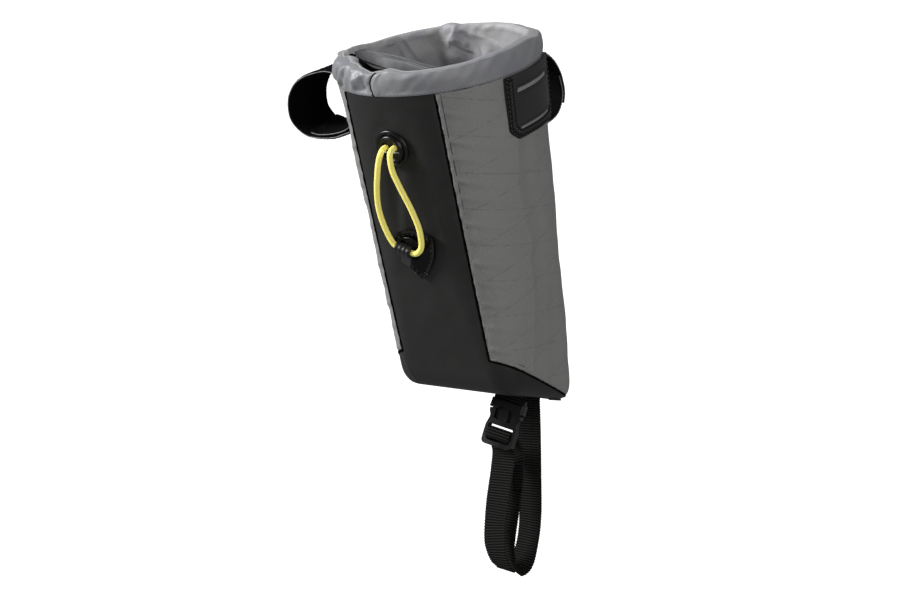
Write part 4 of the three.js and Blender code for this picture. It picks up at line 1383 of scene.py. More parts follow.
@dataclass
class Workshop:
    """Turns skins into Blender objects that ride on the pouch, with its finishes at hand."""

    finishes: dict[str, bpy.types.Material] = field(default_factory=dict)
    made: int = 0

    def mesh(self, name: str, skin: Skin) -> bpy.types.Mesh:
        """A mesh from a skin, moved to the row's frame in metres, with its flat places as a UV map.

        Args:
            name: the mesh's name.
            skin: the surface.

        Returns:
            The mesh.
        """
        mesh = bpy.data.meshes.new(name)
        loops = np.concatenate([skin.quads.ravel(), skin.tris.ravel()]).astype(np.int32)
        sizes = np.concatenate([np.full(len(skin.quads), 4), np.full(len(skin.tris), 3)])
        mesh.vertices.add(len(skin.points))
        mesh.vertices.foreach_set("co", ((skin.points - ROW_ORIGIN) / 1000).astype(np.float32).ravel())
        mesh.loops.add(len(loops))
        mesh.loops.foreach_set("vertex_index", loops)
        mesh.polygons.add(len(sizes))
        mesh.polygons.foreach_set("loop_start", np.concatenate([[0], np.cumsum(sizes)[:-1]]).astype(np.int32))
        mesh.update(calc_edges=True)
        layer = mesh.uv_layers.new(name="flat")
        layer.data.foreach_set("uv", skin.flat[loops].astype(np.float32).ravel())
        mesh.validate()
        return mesh

    def piece(
        self, name: str, skin: Skin, finish: str, slot: str, replaces: Sequence[str] = (),
        merge: bool = False, sharp: float = 50.0,
    ) -> bpy.types.Object:
        """A finished piece of the pouch.

        Args:
            name: the piece's name.
            skin: its closed surface.
            finish: which of the finishes it wears.
            slot: not used.
            replaces: the solids that it stands for.
            merge: whether points at the same place become one.
            sharp: the angle in degrees above which an edge stays sharp.

        Returns:
            The object, riding on the pouch.
        """
        mesh = self.mesh(name, skin)
        shape = bmesh.new()
        shape.from_mesh(mesh)
        if merge:
            bmesh.ops.remove_doubles(shape, verts=shape.verts, dist=2e-5)
        bmesh.ops.recalc_face_normals(shape, faces=shape.faces)
        shape.to_mesh(mesh)
        shape.free()
        mesh.shade_smooth()
        mesh.set_sharp_from_angle(angle=math.radians(sharp))
        mesh.materials.append(self.finishes[finish])
        piece = put(name, mesh)
        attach(piece, "root")
        if replaces:
            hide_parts(*replaces)
        self.made += 1
        log.info("%s: %d faces", name, len(mesh.polygons))
        return piece

    def plate(
        self, name: str, skin: Skin, finish: str, slot: str, replaces: Sequence[str] = (), soft: float = 0.0
    ) -> None:
        """A finished plate, as a piece with sharp edges.

        Args:
            name: the piece's name.
            skin: its closed surface.
            finish: which of the finishes it wears.
            slot: not used; it is handed on to piece.
            replaces: the solids that it stands for.
            soft: millimetres by which its edges are rounded.
        """
        piece = self.piece(name, skin, finish, slot, replaces, sharp=35.0)
        if soft:
            edge = piece.modifiers.new("round_edge", "BEVEL")
            edge.width = soft / 1000
            edge.segments = 3
            edge.limit_method = "ANGLE"
            edge.angle_limit = math.radians(50)


def cut_plate(
    outline: Array,
    holes: Sequence[Array],
    place: Callable[[Array, Array, float], Array],
    thickness: float,
    step: float = 2.5,
) -> Skin:
    """A plate cut to an outline with holes, laid on a surface.

    The flat shape is filled with triangles and split along lines a step apart, so that it bends
    with the surface that place gives.

    Args:
        outline: corners (n, 2) of the edge.
        holes: corners of each hole.
        place: gives points from sideways places, heights and a share of the thickness.
        thickness: how far the flat places of the back are set off from the front's.
        step: distance between the lines.

    Returns:
        The closed plate.
    """
    loops = [outline, *holes]
    corners = np.vstack(loops)
    faces = tessellate_polygon([[Vector((x, y, 0)) for x, y in loop] for loop in loops])
    shape = bmesh.new()
    verts = [shape.verts.new((x, y, 0)) for x, y in corners]
    for a, b, c in faces:
        if len({a, b, c}) == 3:
            shape.faces.new((verts[a], verts[b], verts[c]))
    low, high = corners.min(0), corners.max(0)
    for axis in (0, 1):
        for at in np.arange(low[axis] + step, high[axis] - 0.3 * step, step):
            normal, point = [0, 0, 0], [0, 0, 0]
            normal[axis], point[axis] = 1, at
            geometry = shape.verts[:] + shape.edges[:] + shape.faces[:]
            bmesh.ops.bisect_plane(shape, geom=geometry, dist=1e-4, plane_co=point, plane_no=normal)
    bmesh.ops.triangulate(shape, faces=shape.faces[:])
    flat = np.array([v.co[:2] for v in shape.verts])
    shape.verts.index_update()
    tris = np.array([[v.index for v in f.verts] for f in shape.faces])
    edges = np.array([[v.index for v in e.verts] for e in shape.edges if e.is_boundary])
    shape.free()
    a, b, c = (flat[tris[:, i]] for i in range(3))
    area = (b[:, 0] - a[:, 0]) * (c[:, 1] - a[:, 1]) - (b[:, 1] - a[:, 1]) * (c[:, 0] - a[:, 0])
    tris = np.where(area[:, None] < 0, tris[:, ::-1], tris)
    count = len(flat)
    outer, inner = (place(flat[:, 0], flat[:, 1], share) for share in (1.0, 0.0))
    quads = np.stack([edges[:, 0], edges[:, 1], edges[:, 1] + count, edges[:, 0] + count], -1)
    return Skin(
        np.vstack([outer, inner]),
        quads,
        np.vstack([flat, flat + [0, thickness]]),
        np.vstack([tris, tris[:, ::-1] + count]),
    )


def arc_corner(outline: Sequence[Triple], steps: int = 5) -> Array:
    """An outline whose corners are rounded.

    Each corner is replaced by a quadratic curve that starts and ends at its radius from it.

    Args:
        outline: corners as x, y and radius.
        steps: points in a corner.

    Returns:
        The rounded outline (n, 2).
    """
    corners = np.array(outline, float)
    at, radius = corners[:, :2], corners[:, 2:]
    before, after = unit(np.roll(at, 1, 0) - at), unit(np.roll(at, -1, 0) - at)
    t = np.linspace(0, 1, steps)[None, :, None]
    start, end = (at + before * radius)[:, None], (at + after * radius)[:, None]
    return ((1 - t) ** 2 * start + 2 * t * (1 - t) * at[:, None] + t**2 * end).reshape(-1, 2)


def usual_reach(share: Array) -> Array:
    """The wall's usual distance from the axis at a share of the height."""
    return 52.5 - 14.0 * share


def off_front(turn: Array) -> Array:
    """The angle between a turn and the front, to either side."""
    return np.abs((turn + math.pi) % (2 * math.pi) - math.pi)


@dataclass
class Body:
    """The pouch's walls: gray sides, the black front that wraps under as the base, and their seams."""

    wall: float = 1.1
    rows: int = 144
    turn_steps: int = 264
    crease: tuple[Pair, ...] = (
        (-175.0, 70.0), (-150.0, 77.0), (-128.0, 79.0), (-112.0, 82.0), (-98.3, 79.6), (-94.3, 84.2),
        (-85.3, 81.7),
        (-75.9, 77.6), (-74.3, 84.5), (-72.1, 78.8), (-56.9, 74.6), (-38.9, 77.1), (-34.3, 77.7), (0.0, 80.0),
    )
    pleats: tuple[Pair, ...] = (
        (-9, 0.5), (-24, 0.7), (-33, 0.35), (-45, 0.75), (-54, 0.4), (-68, 0.55), (-77, 0.3), (-90, 0.6),
        (-101, 0.35),
        (-113, 0.5), (-126, 0.3), (-139, 0.45),
    )
    dents: tuple[Fold, ...] = (
        Fold(((6.5, -27), (9.8, -37), (12.6, -47), (15, -58), (15.8, -74), (15, -88)), -1.7, 4.5, 4.0, 1.7),
        Fold(((-0.5, -34), (-3.0, -45), (-6.4, -57), (-9.2, -68), (-10.5, -80)), -1.5, 5.5, 5.0, 1.7),
        Fold(((17.0, -30), (21.0, -52), (21.5, -75)), 0.5, 4.0, 5.0, 1.5),
        Fold(((-21.0, -95), (-14.0, -112), (-3.0, -121)), -0.5, 8.0, 9.0, 1.8),
    )

    def lay(self, at: Array, share: Array, turn: Array) -> Array:
        """Flat places in millimetres: distance round from the middle of the near side, and height."""
        middle = np.where(turn > math.pi, 1.5 * math.pi, 0.5 * math.pi)
        return np.stack([(turn - middle) * usual_reach(share), at[..., 2]], -1)

    def side_relief(self, at: Array, share: Array, turn: Array) -> Array:
        """How far the gray cloth stands off its form.

        Long soft folds, a wavy ridge down each side with a softer one beyond it, a tuck along the seams
        and pleats pinched from it, and a low hang under the collar.

        Args:
            at: points of the form.
            share: share of the height below the mouth.
            turn: direction in radians.

        Returns:
            Outward distances in millimetres.
        """
        reach, height = usual_reach(share), at[..., 2]
        right = turn < math.pi
        near = np.where(right, turn, 2 * math.pi - turn)
        heights, turns = np.array(self.crease).T
        line = np.radians(np.interp(height, heights, turns)) + np.where(right, 0, 0.06 * np.sin(height / 13))
        off = (near - line) * reach
        crest = 1.5 * np.where(off < 0, np.exp(off / 8.0), np.exp(-off / 3.6))
        ridge = (crest + 0.55 * bump(off, 15, 4.5)) * smooth(0, 26, -height)
        u = turn * 46.0
        folds = 0.3 * ripple(u, height * 0.6, 36.0, 3) + 0.13 * ripple(u, height, 13.0, 4)
        edge = (near - FORM.front_turn(share)) * reach
        low = height - FORM.seam_height(at[..., 1])
        tuck = -0.3 * bump(edge, 3.4, 1.5) - 0.55 * np.exp(-edge / 0.8)
        tuck = tuck - 0.5 * np.exp(-np.maximum(low, 0) / 0.8)
        pinch = np.zeros(height.shape)
        for middle, size in self.pleats:
            down = height - middle + 0.4 * edge + np.where(right, 0, 5.0)
            crimp = bump(down, 0, 1.5) - 0.7 * bump(down, -3.0, 1.9)
            pinch = pinch + 1.7 * size * crimp * np.exp(-edge / 8.0)
        hung = 0.35 * np.exp(height / 9.0) * ripple(u, height * 0.2, 14.0, 6)
        inner = smooth(0.4, 3.2, edge) * smooth(0.2, 3, low)
        pinch = pinch * smooth(0.3, 2.2, edge)
        return (folds * smooth(0, 8, -height) + ridge + hung) * inner + pinch * inner + tuck

    def front_relief(self, at: Array, share: Array, turn: Array) -> Array:
        """How far the black panel stands off its form: dents below the grommet, broad waves, tucked edges.

        Args:
            at: points of the form.
            share: share of the height below the mouth.
            turn: direction in radians.

        Returns:
            Outward distances in millimetres.
        """
        x, height = at[..., 0], at[..., 2]
        edge = np.maximum(FORM.front_half - np.abs(x), 0)
        waves = 0.3 * ripple(x, height * 0.7, 44.0, 13) + 0.06 * ripple(x, height, 12.0, 15)
        seat = -0.45 * bump(np.hypot(x, height + 27.6), 11.5, 3.5)
        pucker = 0.16 * np.exp(-edge / 4.0) * ripple(0 * x, height, 9.0, 14)
        shape = folded(self.dents, x, height) + waves + seat + pucker
        return shape * smooth(0, 8, -height) * smooth(0, 3, edge) - 0.45 * np.exp(-edge / 0.9)

    def shell(self, share: Array, turn: Array, relief: Callable[[Array, Array, Array], Array]) -> Skin:
        """A closed sheet of wall over a grid of shares and turns, moved out by relief.

        Args:
            share: share of the height below the mouth.
            turn: direction in radians.
            relief: outward distances by point, share and turn.

        Returns:
            The closed sheet.
        """
        outer = FORM.wall(share, turn)
        normal = grid_normals(outer)
        normal = normal * np.sign((normal * radial(turn)).sum(-1, keepdims=True) + 1e-9)
        flat = self.lay(outer, share, turn)
        outer = outer + normal * relief(outer, share, turn)[..., None]
        return walled(outer, outer - normal * self.wall, flat)

    def sides(self) -> Skin:
        """The gray wall: from the front panel's right edge round the back to its left edge.

        Returns:
            The gray wall, closed.
        """
        u = np.linspace(0, 1, self.turn_steps)[None, :]
        u = u - 0.045 * np.sin(2 * math.pi * u)
        v = np.linspace(0.0015, 0.998, self.rows)[:, None]
        share = np.broadcast_to(v, (self.rows, self.turn_steps))
        for _ in range(4):
            edge = FORM.front_turn(share) + 0.25 / 52.0
            turn = edge + (2 * math.pi - 2 * edge) * u
            share = v * FORM.seam_share(np.minimum(turn, 2 * math.pi - turn))
        return self.shell(share, turn, self.side_relief)

    def front(self) -> Skin:
        """The black wall: the front, and a skirt under the slanted seams that closes as the base.

        Returns:
            The black wall: upper front, skirt and base in one.
        """
        corner = FORM.corner_share()
        across = np.sin(np.linspace(-1, 1, 91) * math.pi / 2 * 0.82) / math.sin(math.pi / 2 * 0.82)
        share = np.linspace(0.0015, corner, 156)[:, None] * np.ones((1, 91))
        turn = FORM.front_turn(share) * across[None, :]
        upper = self.shell(share, turn, self.front_relief)
        edge = float(FORM.front_turn(np.array(corner)))
        turns = np.concatenate([(edge * across)[:-1], np.linspace(edge, 2 * math.pi - edge, 141)])
        aside = off_front(turns)
        start = np.where(aside <= edge + 1e-6, corner, FORM.seam_share(aside) + 0.0012)
        share = start + (1 - start) * np.linspace(0, 1, 26)[:, None]
        turn = np.broadcast_to(turns, share.shape)

        def skirt(at: Array, share: Array, turn: Array) -> Array:
            """The front's relief, which dies away at its sides, and a tuck along the slanted seams.

            Args:
                at: points of the form.
                share: share of the height below the mouth.
                turn: direction in radians.

            Returns:
                Outward distances in millimetres.
            """
            aside = off_front(turn)
            under = FORM.seam_height(at[..., 1]) - at[..., 2]
            tuck = -0.4 * np.exp(-np.maximum(under, 0) / 0.9) * smooth(edge * 0.97, edge * 1.03, aside)
            kept = smooth(edge, edge * 0.9, aside) * smooth(1, 0.9, share)
            return self.front_relief(at, share, turn) * kept + tuck

        lower = self.shell(share, turn, skirt)
        base = filled(FORM.wall(np.ones(len(turns)), turns), self.wall, 120)
        return upper.joined(lower, base)

    def seam_paths(self) -> dict[str, tuple[Array, Array]]:
        """Points and outward directions along the front seams and the slanted seams.

        Returns:
            Points and directions by side, right and left.
        """
        corner = FORM.corner_share()
        share = np.linspace(0.004, corner, 240)
        edge = FORM.front_turn(share)
        low_turn = np.linspace(float(edge[-1]), math.pi, 150)[1:]
        share = np.concatenate([share, FORM.seam_share(low_turn)])
        turn = np.concatenate([edge, low_turn])
        paths = {}
        for name, sign in (("right", 1), ("left", -1)):
            at = FORM.wall(share, sign * turn, 0.1)
            out = unit(FORM.wall(share, sign * turn, -1.0) - FORM.wall(share, sign * turn, 0.0))
            paths[name] = (at, out)
        return paths

    def seam_roll(self, side: str, shift: float, width: float, thickness: float, seed: int) -> Skin:
        """A narrow puckered roll along a seam.

        Args:
            side: which seam.
            shift: how far it lies from the seam, towards the gray cloth.
            width: its width.
            thickness: its thickness.
            seed: seed of its puckers.

        Returns:
            The roll.
        """
        at, out = self.seam_paths()[side]
        across = unit(np.cross(out, unit(np.gradient(at, axis=0))))
        across = across * np.sign(across[5, 0]) * (1 if side == "right" else -1)

        def puckers(s: Array, r: Array) -> Array:
            """Small waves along the roll and over it."""
            return 0.07 * thickness * ripple(s, 0 * s, 7.0, seed) + 0.04 * ripple(s, r, 3.0, seed + 1)

        outline = strap_outline(width, thickness, 4)
        return sweep(at + across * shift - out * 0.15, across, outline, relief=puckers)

    def build(self, shop: Workshop) -> None:
        """Makes the walls, a black strip in each seam that paints its shadow, the folded gray edge on the
        right one, and a dark strip beyond that edge that paints the shadow of its puckers.

        Args:
            shop: the workshop that makes the pieces.
        """
        shop.piece("gray_side_cloth", self.sides(), "laminate", "laminate", ["side_panels"])
        shop.piece("black_front_cloth", self.front(), "panel", "panel", ["front_panel"], merge=True)
        # Black strips in the seams: painted shadow along the seam lines
        shop.piece("right_seam_painted_shadow", self.seam_roll("right", -0.05, 1.1, 0.9, 61), "black_thread_and_shadow", "panel")
        shop.piece("right_seam_fold", self.seam_roll("right", 1.5, 2.0, 1.7, 63), "laminate", "laminate")
        # A dark gray strip beyond the folded edge: painted shadow of its puckers
        shop.piece("right_seam_fold_painted_shadow", self.seam_roll("right", 2.7, 0.6, 0.5, 67), "gray_thread_and_shadow", "laminate")
        shop.piece("left_seam_painted_shadow", self.seam_roll("left", 0.2, 1.7, 1.2, 65), "black_thread_and_shadow", "panel")


# The collar's height, bulge and roll by turn in degrees: each row holds the turn and three factors
COLLAR_ROWS = np.array([
    [0, 0.94, 0.55, 1.0], [8, 1.05, 0.6, 1.0], [18, 0.92, 0.55, 0.95], [45, 0.91, 0.6, 0.9],
    [70, 1.0, 0.45, 0.9], [95, 1.02, 0.3, 0.95], [120, 0.8, 0.4, 0.85], [150, 0.6, 0.6, 0.75],
    [200, 0.62, 0.6, 0.7], [208, 0.72, 0.6, 0.9], [216, 0.62, 0.6, 0.7], [255, 0.64, 0.3, 0.85],
    [280, 0.86, 0.15, 1.1], [293, 0.98, 0.4, 1.35], [303, 0.92, 0.1, 1.15], [314, 1.06, 0.7, 1.35],
    [325, 1.0, 0.4, 1.15], [336, 1.12, 0.9, 1.3], [346, 1.02, 0.5, 1.05], [354, 0.88, 0.4, 1.0],
    [360, 0.94, 0.55, 1.0],
])


# Millimetres from the axis to the collar, round its section, and along it for a degree of turn
COLLAR_REACH = 52.0
COLLAR_GIRTH = 36.0
DEGREE_MM = 0.907


def eased(degrees: Array, column: int) -> Array:
    """A column of the collar's table at a turn, eased by a half cosine between its rows.

    Args:
        degrees: the turn in degrees.
        column: which column of the table.

    Returns:
        The column's values.
    """
    at = np.mod(degrees, 360)
    low = np.clip(np.searchsorted(COLLAR_ROWS[:, 0], at, "right") - 1, 0, len(COLLAR_ROWS) - 2)
    a, b = COLLAR_ROWS[low], COLLAR_ROWS[low + 1]
    share = (at - a[..., 0]) / (b[..., 0] - a[..., 0])
    return a[..., column] + (b[..., column] - a[..., column]) * (0.5 - 0.5 * np.cos(math.pi * share))


@dataclass
class Collar:
    """The rolled nylon collar round the mouth, with its gathers, lower stitching and one seam."""

    height: float = 13.0
    bulge: float = 2.2
    thickness: float = 4.6
    seam_turn: float = 356.4
    section: tuple[Pair, ...] = (
        (-0.62, 0), (0.15, 0), (0.8, 0.24), (1, 0.54), (0.5, 0.84), (-0.3, 1), (-0.75, 0.95), (-1, 0.7),
        (-0.92, 0.32),
    )
    folds: tuple[Fold, ...] = (
        Fold(((298, 19), (296, 12), (292, 5)), 0.9, 2.0, 2.6),
        Fold(((291, 20), (289, 13), (287, 5)), -0.9, 1.4, 1.8),
        Fold(((283.5, 19), (283, 13), (282, 6)), 0.7, 1.8, 2.2),
        Fold(((309, 20), (311, 14), (312, 7)), 0.8, 2.0, 2.4),
        Fold(((315, 20), (317.5, 13), (318, 6)), -0.8, 1.2, 1.5),
        Fold(((303.4, 21), (302, 15), (300, 10)), -0.7, 1.2, 1.6),
        Fold(((304.5, 9.5), (302.5, 7), (298, 4.5)), 0.5, 1.2, 1.5),
        Fold(((319, 18), (314, 14), (307, 11)), 0.9, 2.0, 2.4),
        Fold(((322, 13), (318, 9), (313, 6)), -0.6, 1.4, 1.6),
        Fold(((352, 17), (341, 14.5), (331, 13.2)), 0.5, 2.6, 2.2),
        Fold(((330, 9), (345, 7.5), (368, 8.2)), -0.35, 4.0, 4.0, 1.7),
        Fold(((385, 20), (393, 15), (397, 9)), 0.5, 5.0, 2.5),
        Fold(((416, 18), (412, 13), (409, 7)), -0.5, 3.0, 5.0),
        Fold(((440, 19), (437, 13), (429, 6)), 0.55, 5.0, 3.0),
        Fold(((468, 20), (464, 13), (461, 6)), -0.45, 3.0, 4.0),
    )

    def seam_at(self, place: Array) -> Array:
        """Turn of the upright seam, which sways to the left halfway up and to the right at its top."""
        up = np.clip((place - 0.13) / 0.4, 0, 1)
        return self.seam_turn + 3.0 * up - 3.2 * np.sin(math.pi * up)

    def roll(self, degrees: Array) -> Array:
        """How far the roll reaches inwards: most at the right end, and at the left where it is gathered."""
        more = 1.5 * bump(degrees, 112, 32) + 0.95 * bump(degrees, 320, 15)
        return self.thickness * (1 + more) * eased(degrees, 3)

    def surface(self, degrees: Array, place: Array) -> Array:
        """Points of the collar: its section carried round the mouth, with folds and slanted wrinkles.

        Args:
            degrees: turn round the mouth.
            place: share of the way round the section, from inside the lower edge outwards.

        Returns:
            Points (..., 3).
        """
        count = 96
        curve = closed_curve(np.array(self.section), count)
        at = np.mod(place, 1) * count
        low, share = at.astype(int) % count, at - at.astype(int)
        out, up = (curve[low, i] * (1 - share) + curve[(low + 1) % count, i] * share for i in (0, 1))
        inset = np.where(out > 0, -out * self.bulge * eased(degrees, 2), -out * self.roll(degrees))
        rise = GAP + up * (self.height * eased(degrees, 1) - GAP)
        round_mm, around = np.radians(degrees) * COLLAR_REACH, np.mod(place, 1) * COLLAR_GIRTH
        strong = 0.16 + 0.84 * (smooth(262, 290, degrees) * (1 - smooth(335, 356, degrees)))
        slanted = ripple(round_mm - around * 0.9, around * 0.25, 9.0, 21) * (0.1 + 0.35 * strong)
        facets = 0.55 * (np.abs(ripple(round_mm * 0.8 + around * 0.5, around * 0.7, 38.0, 22)) - 0.6)
        sharp = -np.abs(ripple(round_mm, around * 0.15, 13.0, 23)) * 0.85 * strong
        made = sum((folded(self.folds, (degrees + k) * DEGREE_MM, around) for k in (0, 360)), 0 * around)
        off = ((degrees - self.seam_at(place) + 180) % 360 - 180) * DEGREE_MM
        rings = 0.5 * bump(off, 3.2, 1.6) + 0.3 * bump(off, -2.6, 1.4) - 0.7 * bump(off, 0, 0.8)
        lifted = (slanted + facets + sharp + made + rings) * smooth(0.02, 0.2, up)
        points = FORM.wall(0.0, np.radians(degrees), inset - lifted)
        return points + np.stack([0 * rise, 0 * rise, rise], -1)

    def build(self, shop: Workshop) -> None:
        """Makes the collar, its edge stitching and its one upright seam.

        Args:
            shop: the workshop that makes the pieces.
        """
        degrees = np.linspace(0, 360, 641)[:-1, None]
        place = (np.arange(60) / 60)[None, :]
        grid = self.surface(*np.broadcast_arrays(degrees, place))
        quads = ring_quads(*grid.shape[:2], joined=True)[:, [0, 3, 2, 1]]
        flat = laid(np.radians(degrees) * COLLAR_REACH, place * COLLAR_GIRTH).reshape(-1, 2)
        shop.piece("rolled_collar", Skin(grid.reshape(-1, 3), quads, flat), "nylon", "nylon", ["rim_collar"])
        turn = np.linspace(0, 360, 1441)
        line = self.surface(turn, np.full(turn.shape, 0.14))
        out = unit(radial(np.radians(turn), -0.2))
        shop.piece("collar_edge_stitches", stitches(line, out, 1.3, 2.0, 0.13), "gray_thread_and_shadow", "nylon")
        t = np.linspace(0.12, 0.53, 80)
        seam = self.surface(self.seam_at(t), t)
        out = radial(np.radians(self.seam_turn), 0.1)
        side = np.broadcast_to(unit(np.cross(out, [0, 0, 1])), seam.shape)
        cord = sweep(seam + out * 0.2, side, rounded_box(0.75, 0.6, 0.25, 3), relief=ragged(71, 0.08))
        shop.piece("collar_end_seam", cord, "black_thread_and_shadow", "nylon")


@dataclass
class Lining:
    """The nylon sleeve inside: it comes over the collar's inner face and is closed at its bottom."""

    collar: Collar
    inset: float = 2.0
    thickness: float = 0.9
    fold: float = 5.0
    collar_rows: int = 22
    deep: tuple[tuple[float, float, float, float], ...] = (
        (208, 9, 0.75, 0.16), (186, 8, 0.4, 0.22), (158, 10, 0.6, 0.12), (238, 11, 0.45, 0.14),
    )
    # Where the painted shadow sheet starts, by turn in degrees: the sleeve's row at its top
    shadow_sheet: tuple[Pair, ...] = (
        (255, 37), (260, 34), (265, 32), (269, 29.5), (274, 26), (279, 21), (284, 16), (290, 13), (295, 10),
    )
    folds: tuple[Fold, ...] = (
        Fold(((202.5, 11), (206, 5), (209.5, 1), (212, -4)), 2.3, 26.0, 2.6, 1.1),
        Fold(((211, 0.6), (207, -2.0), (203, -4.2), (199, -6.5), (190, -9)), -1.5, 0.9, 2.0, 1.1),
        Fold(((209, 1.5), (204, 0.5), (200, -1.5), (197, -4)), 0.8, 2.6, 1.2, 1.1),
        Fold(((200, 3), (193, -1.2), (189, -5.3), (186, -10)), -0.9, 3.2, 1.0, 1.1),
        Fold(((199, 5), (186, 0.8), (176, -2.9), (165, -8)), 0.8, 5.0, 1.6, 1.1),
        Fold(((160, 11), (157, 5), (153, -3), (148, -12)), 0.9, 3.0, 7.0),
        Fold(((249, 8), (245, 3), (242, -1.6), (240, -8)), -1.7, 1.1, 2.6, 1.1),
        Fold(((240, 9), (237, 4), (234, -1.6), (228, -10)), 1.2, 8.0, 1.5, 1.1),
        Fold(((224, 6), (219, -4), (216, -16), (215, -30)), -1.3, 5.0, 4.0, 1.5),
        Fold(((262, 6), (259, 0), (258, -9)), 0.9, 3.0, 2.0),
    )

    def turns(self) -> Array:
        """The turns of the columns in degrees, closer together where the folds are."""
        right, back, left = np.linspace(0, 150, 56), np.linspace(150, 300, 241), np.linspace(300, 360, 41)
        return np.concatenate([right[:-1], back[:-1], left])

    def grid(self, extra: float) -> tuple[Array, Array]:
        """Points of one face of the sleeve, and its flat places.

        The first rows lie on the collar's inner face, a few blend down to the mouth, and the rest follow
        the wall at an inset that eases from the collar's depth to the sleeve's own.

        Args:
            extra: distance inwards from the sleeve's outer face.

        Returns:
            Points (rows, columns, 3) and flat places (rows, columns, 2).
        """
        degrees = self.turns()[None, :]
        place = np.linspace(0.585, 0.84, self.collar_rows)[:, None]
        top = self.collar.surface(*np.broadcast_arrays(degrees, place))
        inward = np.cross(np.gradient(top, axis=1), np.gradient(top, axis=0))
        away = radial(np.radians(degrees[0]))
        inward = unit(inward * -np.sign((inward[-1] * away).sum(-1))[None, :, None])
        tucked = -0.65 * np.clip(1 - np.arange(self.collar_rows) / 3, 0, 1)[:, None, None]
        top = top + inward * (0.1 + extra * 0.35 + tucked)
        high, middle, low = np.linspace(0.0, 0.25, 50), np.linspace(0.27, 0.93, 22), np.linspace(0.94, 1, 8)
        share, turned = np.broadcast_arrays(np.concatenate([high, middle, low])[:, None], degrees)
        depth = share * 170.0
        rim_inset = self.collar.roll(turned) * 0.97
        calm = 1 - smooth(0.85, 0.95, share)
        deep = np.zeros(share.shape)
        for turn, width, size, low in self.deep:
            deep = deep + self.fold * size * bump(turned, turn, width) * np.clip(1 - share / low, 0, 1)
        base = self.inset + (rim_inset - self.inset) * (1 - smooth(0, 15, depth))
        low = FORM.wall(share, np.radians(turned), base + extra + deep * smooth(0, 9, depth) * calm)
        low[..., 2] += share * (self.inset + extra)
        t = np.linspace(0, 1, 8)[1:-1, None, None]
        bridge = top[-1] + (low[0] - top[-1]) * t
        points = np.concatenate([top, bridge, low])
        height = points[..., 2]
        mm = np.degrees(np.arctan2(points[..., 0], -points[..., 1])) % 360 * DEGREE_MM
        folds = [replace(fold, line=tuple((a * DEGREE_MM, b) for a, b in fold.line)) for fold in self.folds]
        wrinkle = 0.35 * np.maximum(ripple(mm + 0.6 * height, height * 0.5, 24.0, 31), -0.4)
        wrinkle = wrinkle + 0.1 * ripple(mm, height, 9.0, 32)
        below = smooth(6, -8, height)
        fade = smooth(0, 3, np.arange(len(points)))[:, None] * smooth(-168, -150, height)
        shift = (folded(folds, mm, height) + wrinkle * (0.35 + 0.65 * below)) * fade
        points = points - away[None] * np.maximum(shift, -0.4 - 1.2 * below)[..., None]
        return points, laid(np.radians(degrees) * 50.0, height)

    def build(self, shop: Workshop) -> None:
        """Makes the sleeve with its floor, and a near-black sheet behind the closure's tunnel that paints the
        shadow in the gap there.

        Args:
            shop: the workshop that makes the pieces.
        """
        outer, flat = self.grid(0.0)
        inner = self.grid(self.thickness)[0]
        sleeve = walled(outer, inner, flat).joined(filled(outer[-1], self.thickness))
        shop.piece("inner_sleeve", sleeve, "lining", "nylon", ["lining"], merge=True)
        turns = self.turns()
        column = np.flatnonzero((turns > 254.9) & (turns < 357.6))
        start = np.interp(turns[column], *np.array(self.shadow_sheet).T)
        at = start + (70 - start) * np.linspace(0, 1, 40)[:, None]
        row, share = at.astype(int), (at - at.astype(int))[..., None]
        shadow_sheet = inner[row, column] * (1 - share) + inner[row + 1, column] * share
        away = unit(shadow_sheet * [1, 1, 0])
        # A near-black sheet inside the sleeve, in the hook tape's finish: painted shadow in the deep gap
        # behind the tunnel
        skin = walled(shadow_sheet - away * 0.3, shadow_sheet - away * 0.7, flat[row, column])
        shop.piece("closure_painted_shadow", skin, "hook", "nylon")


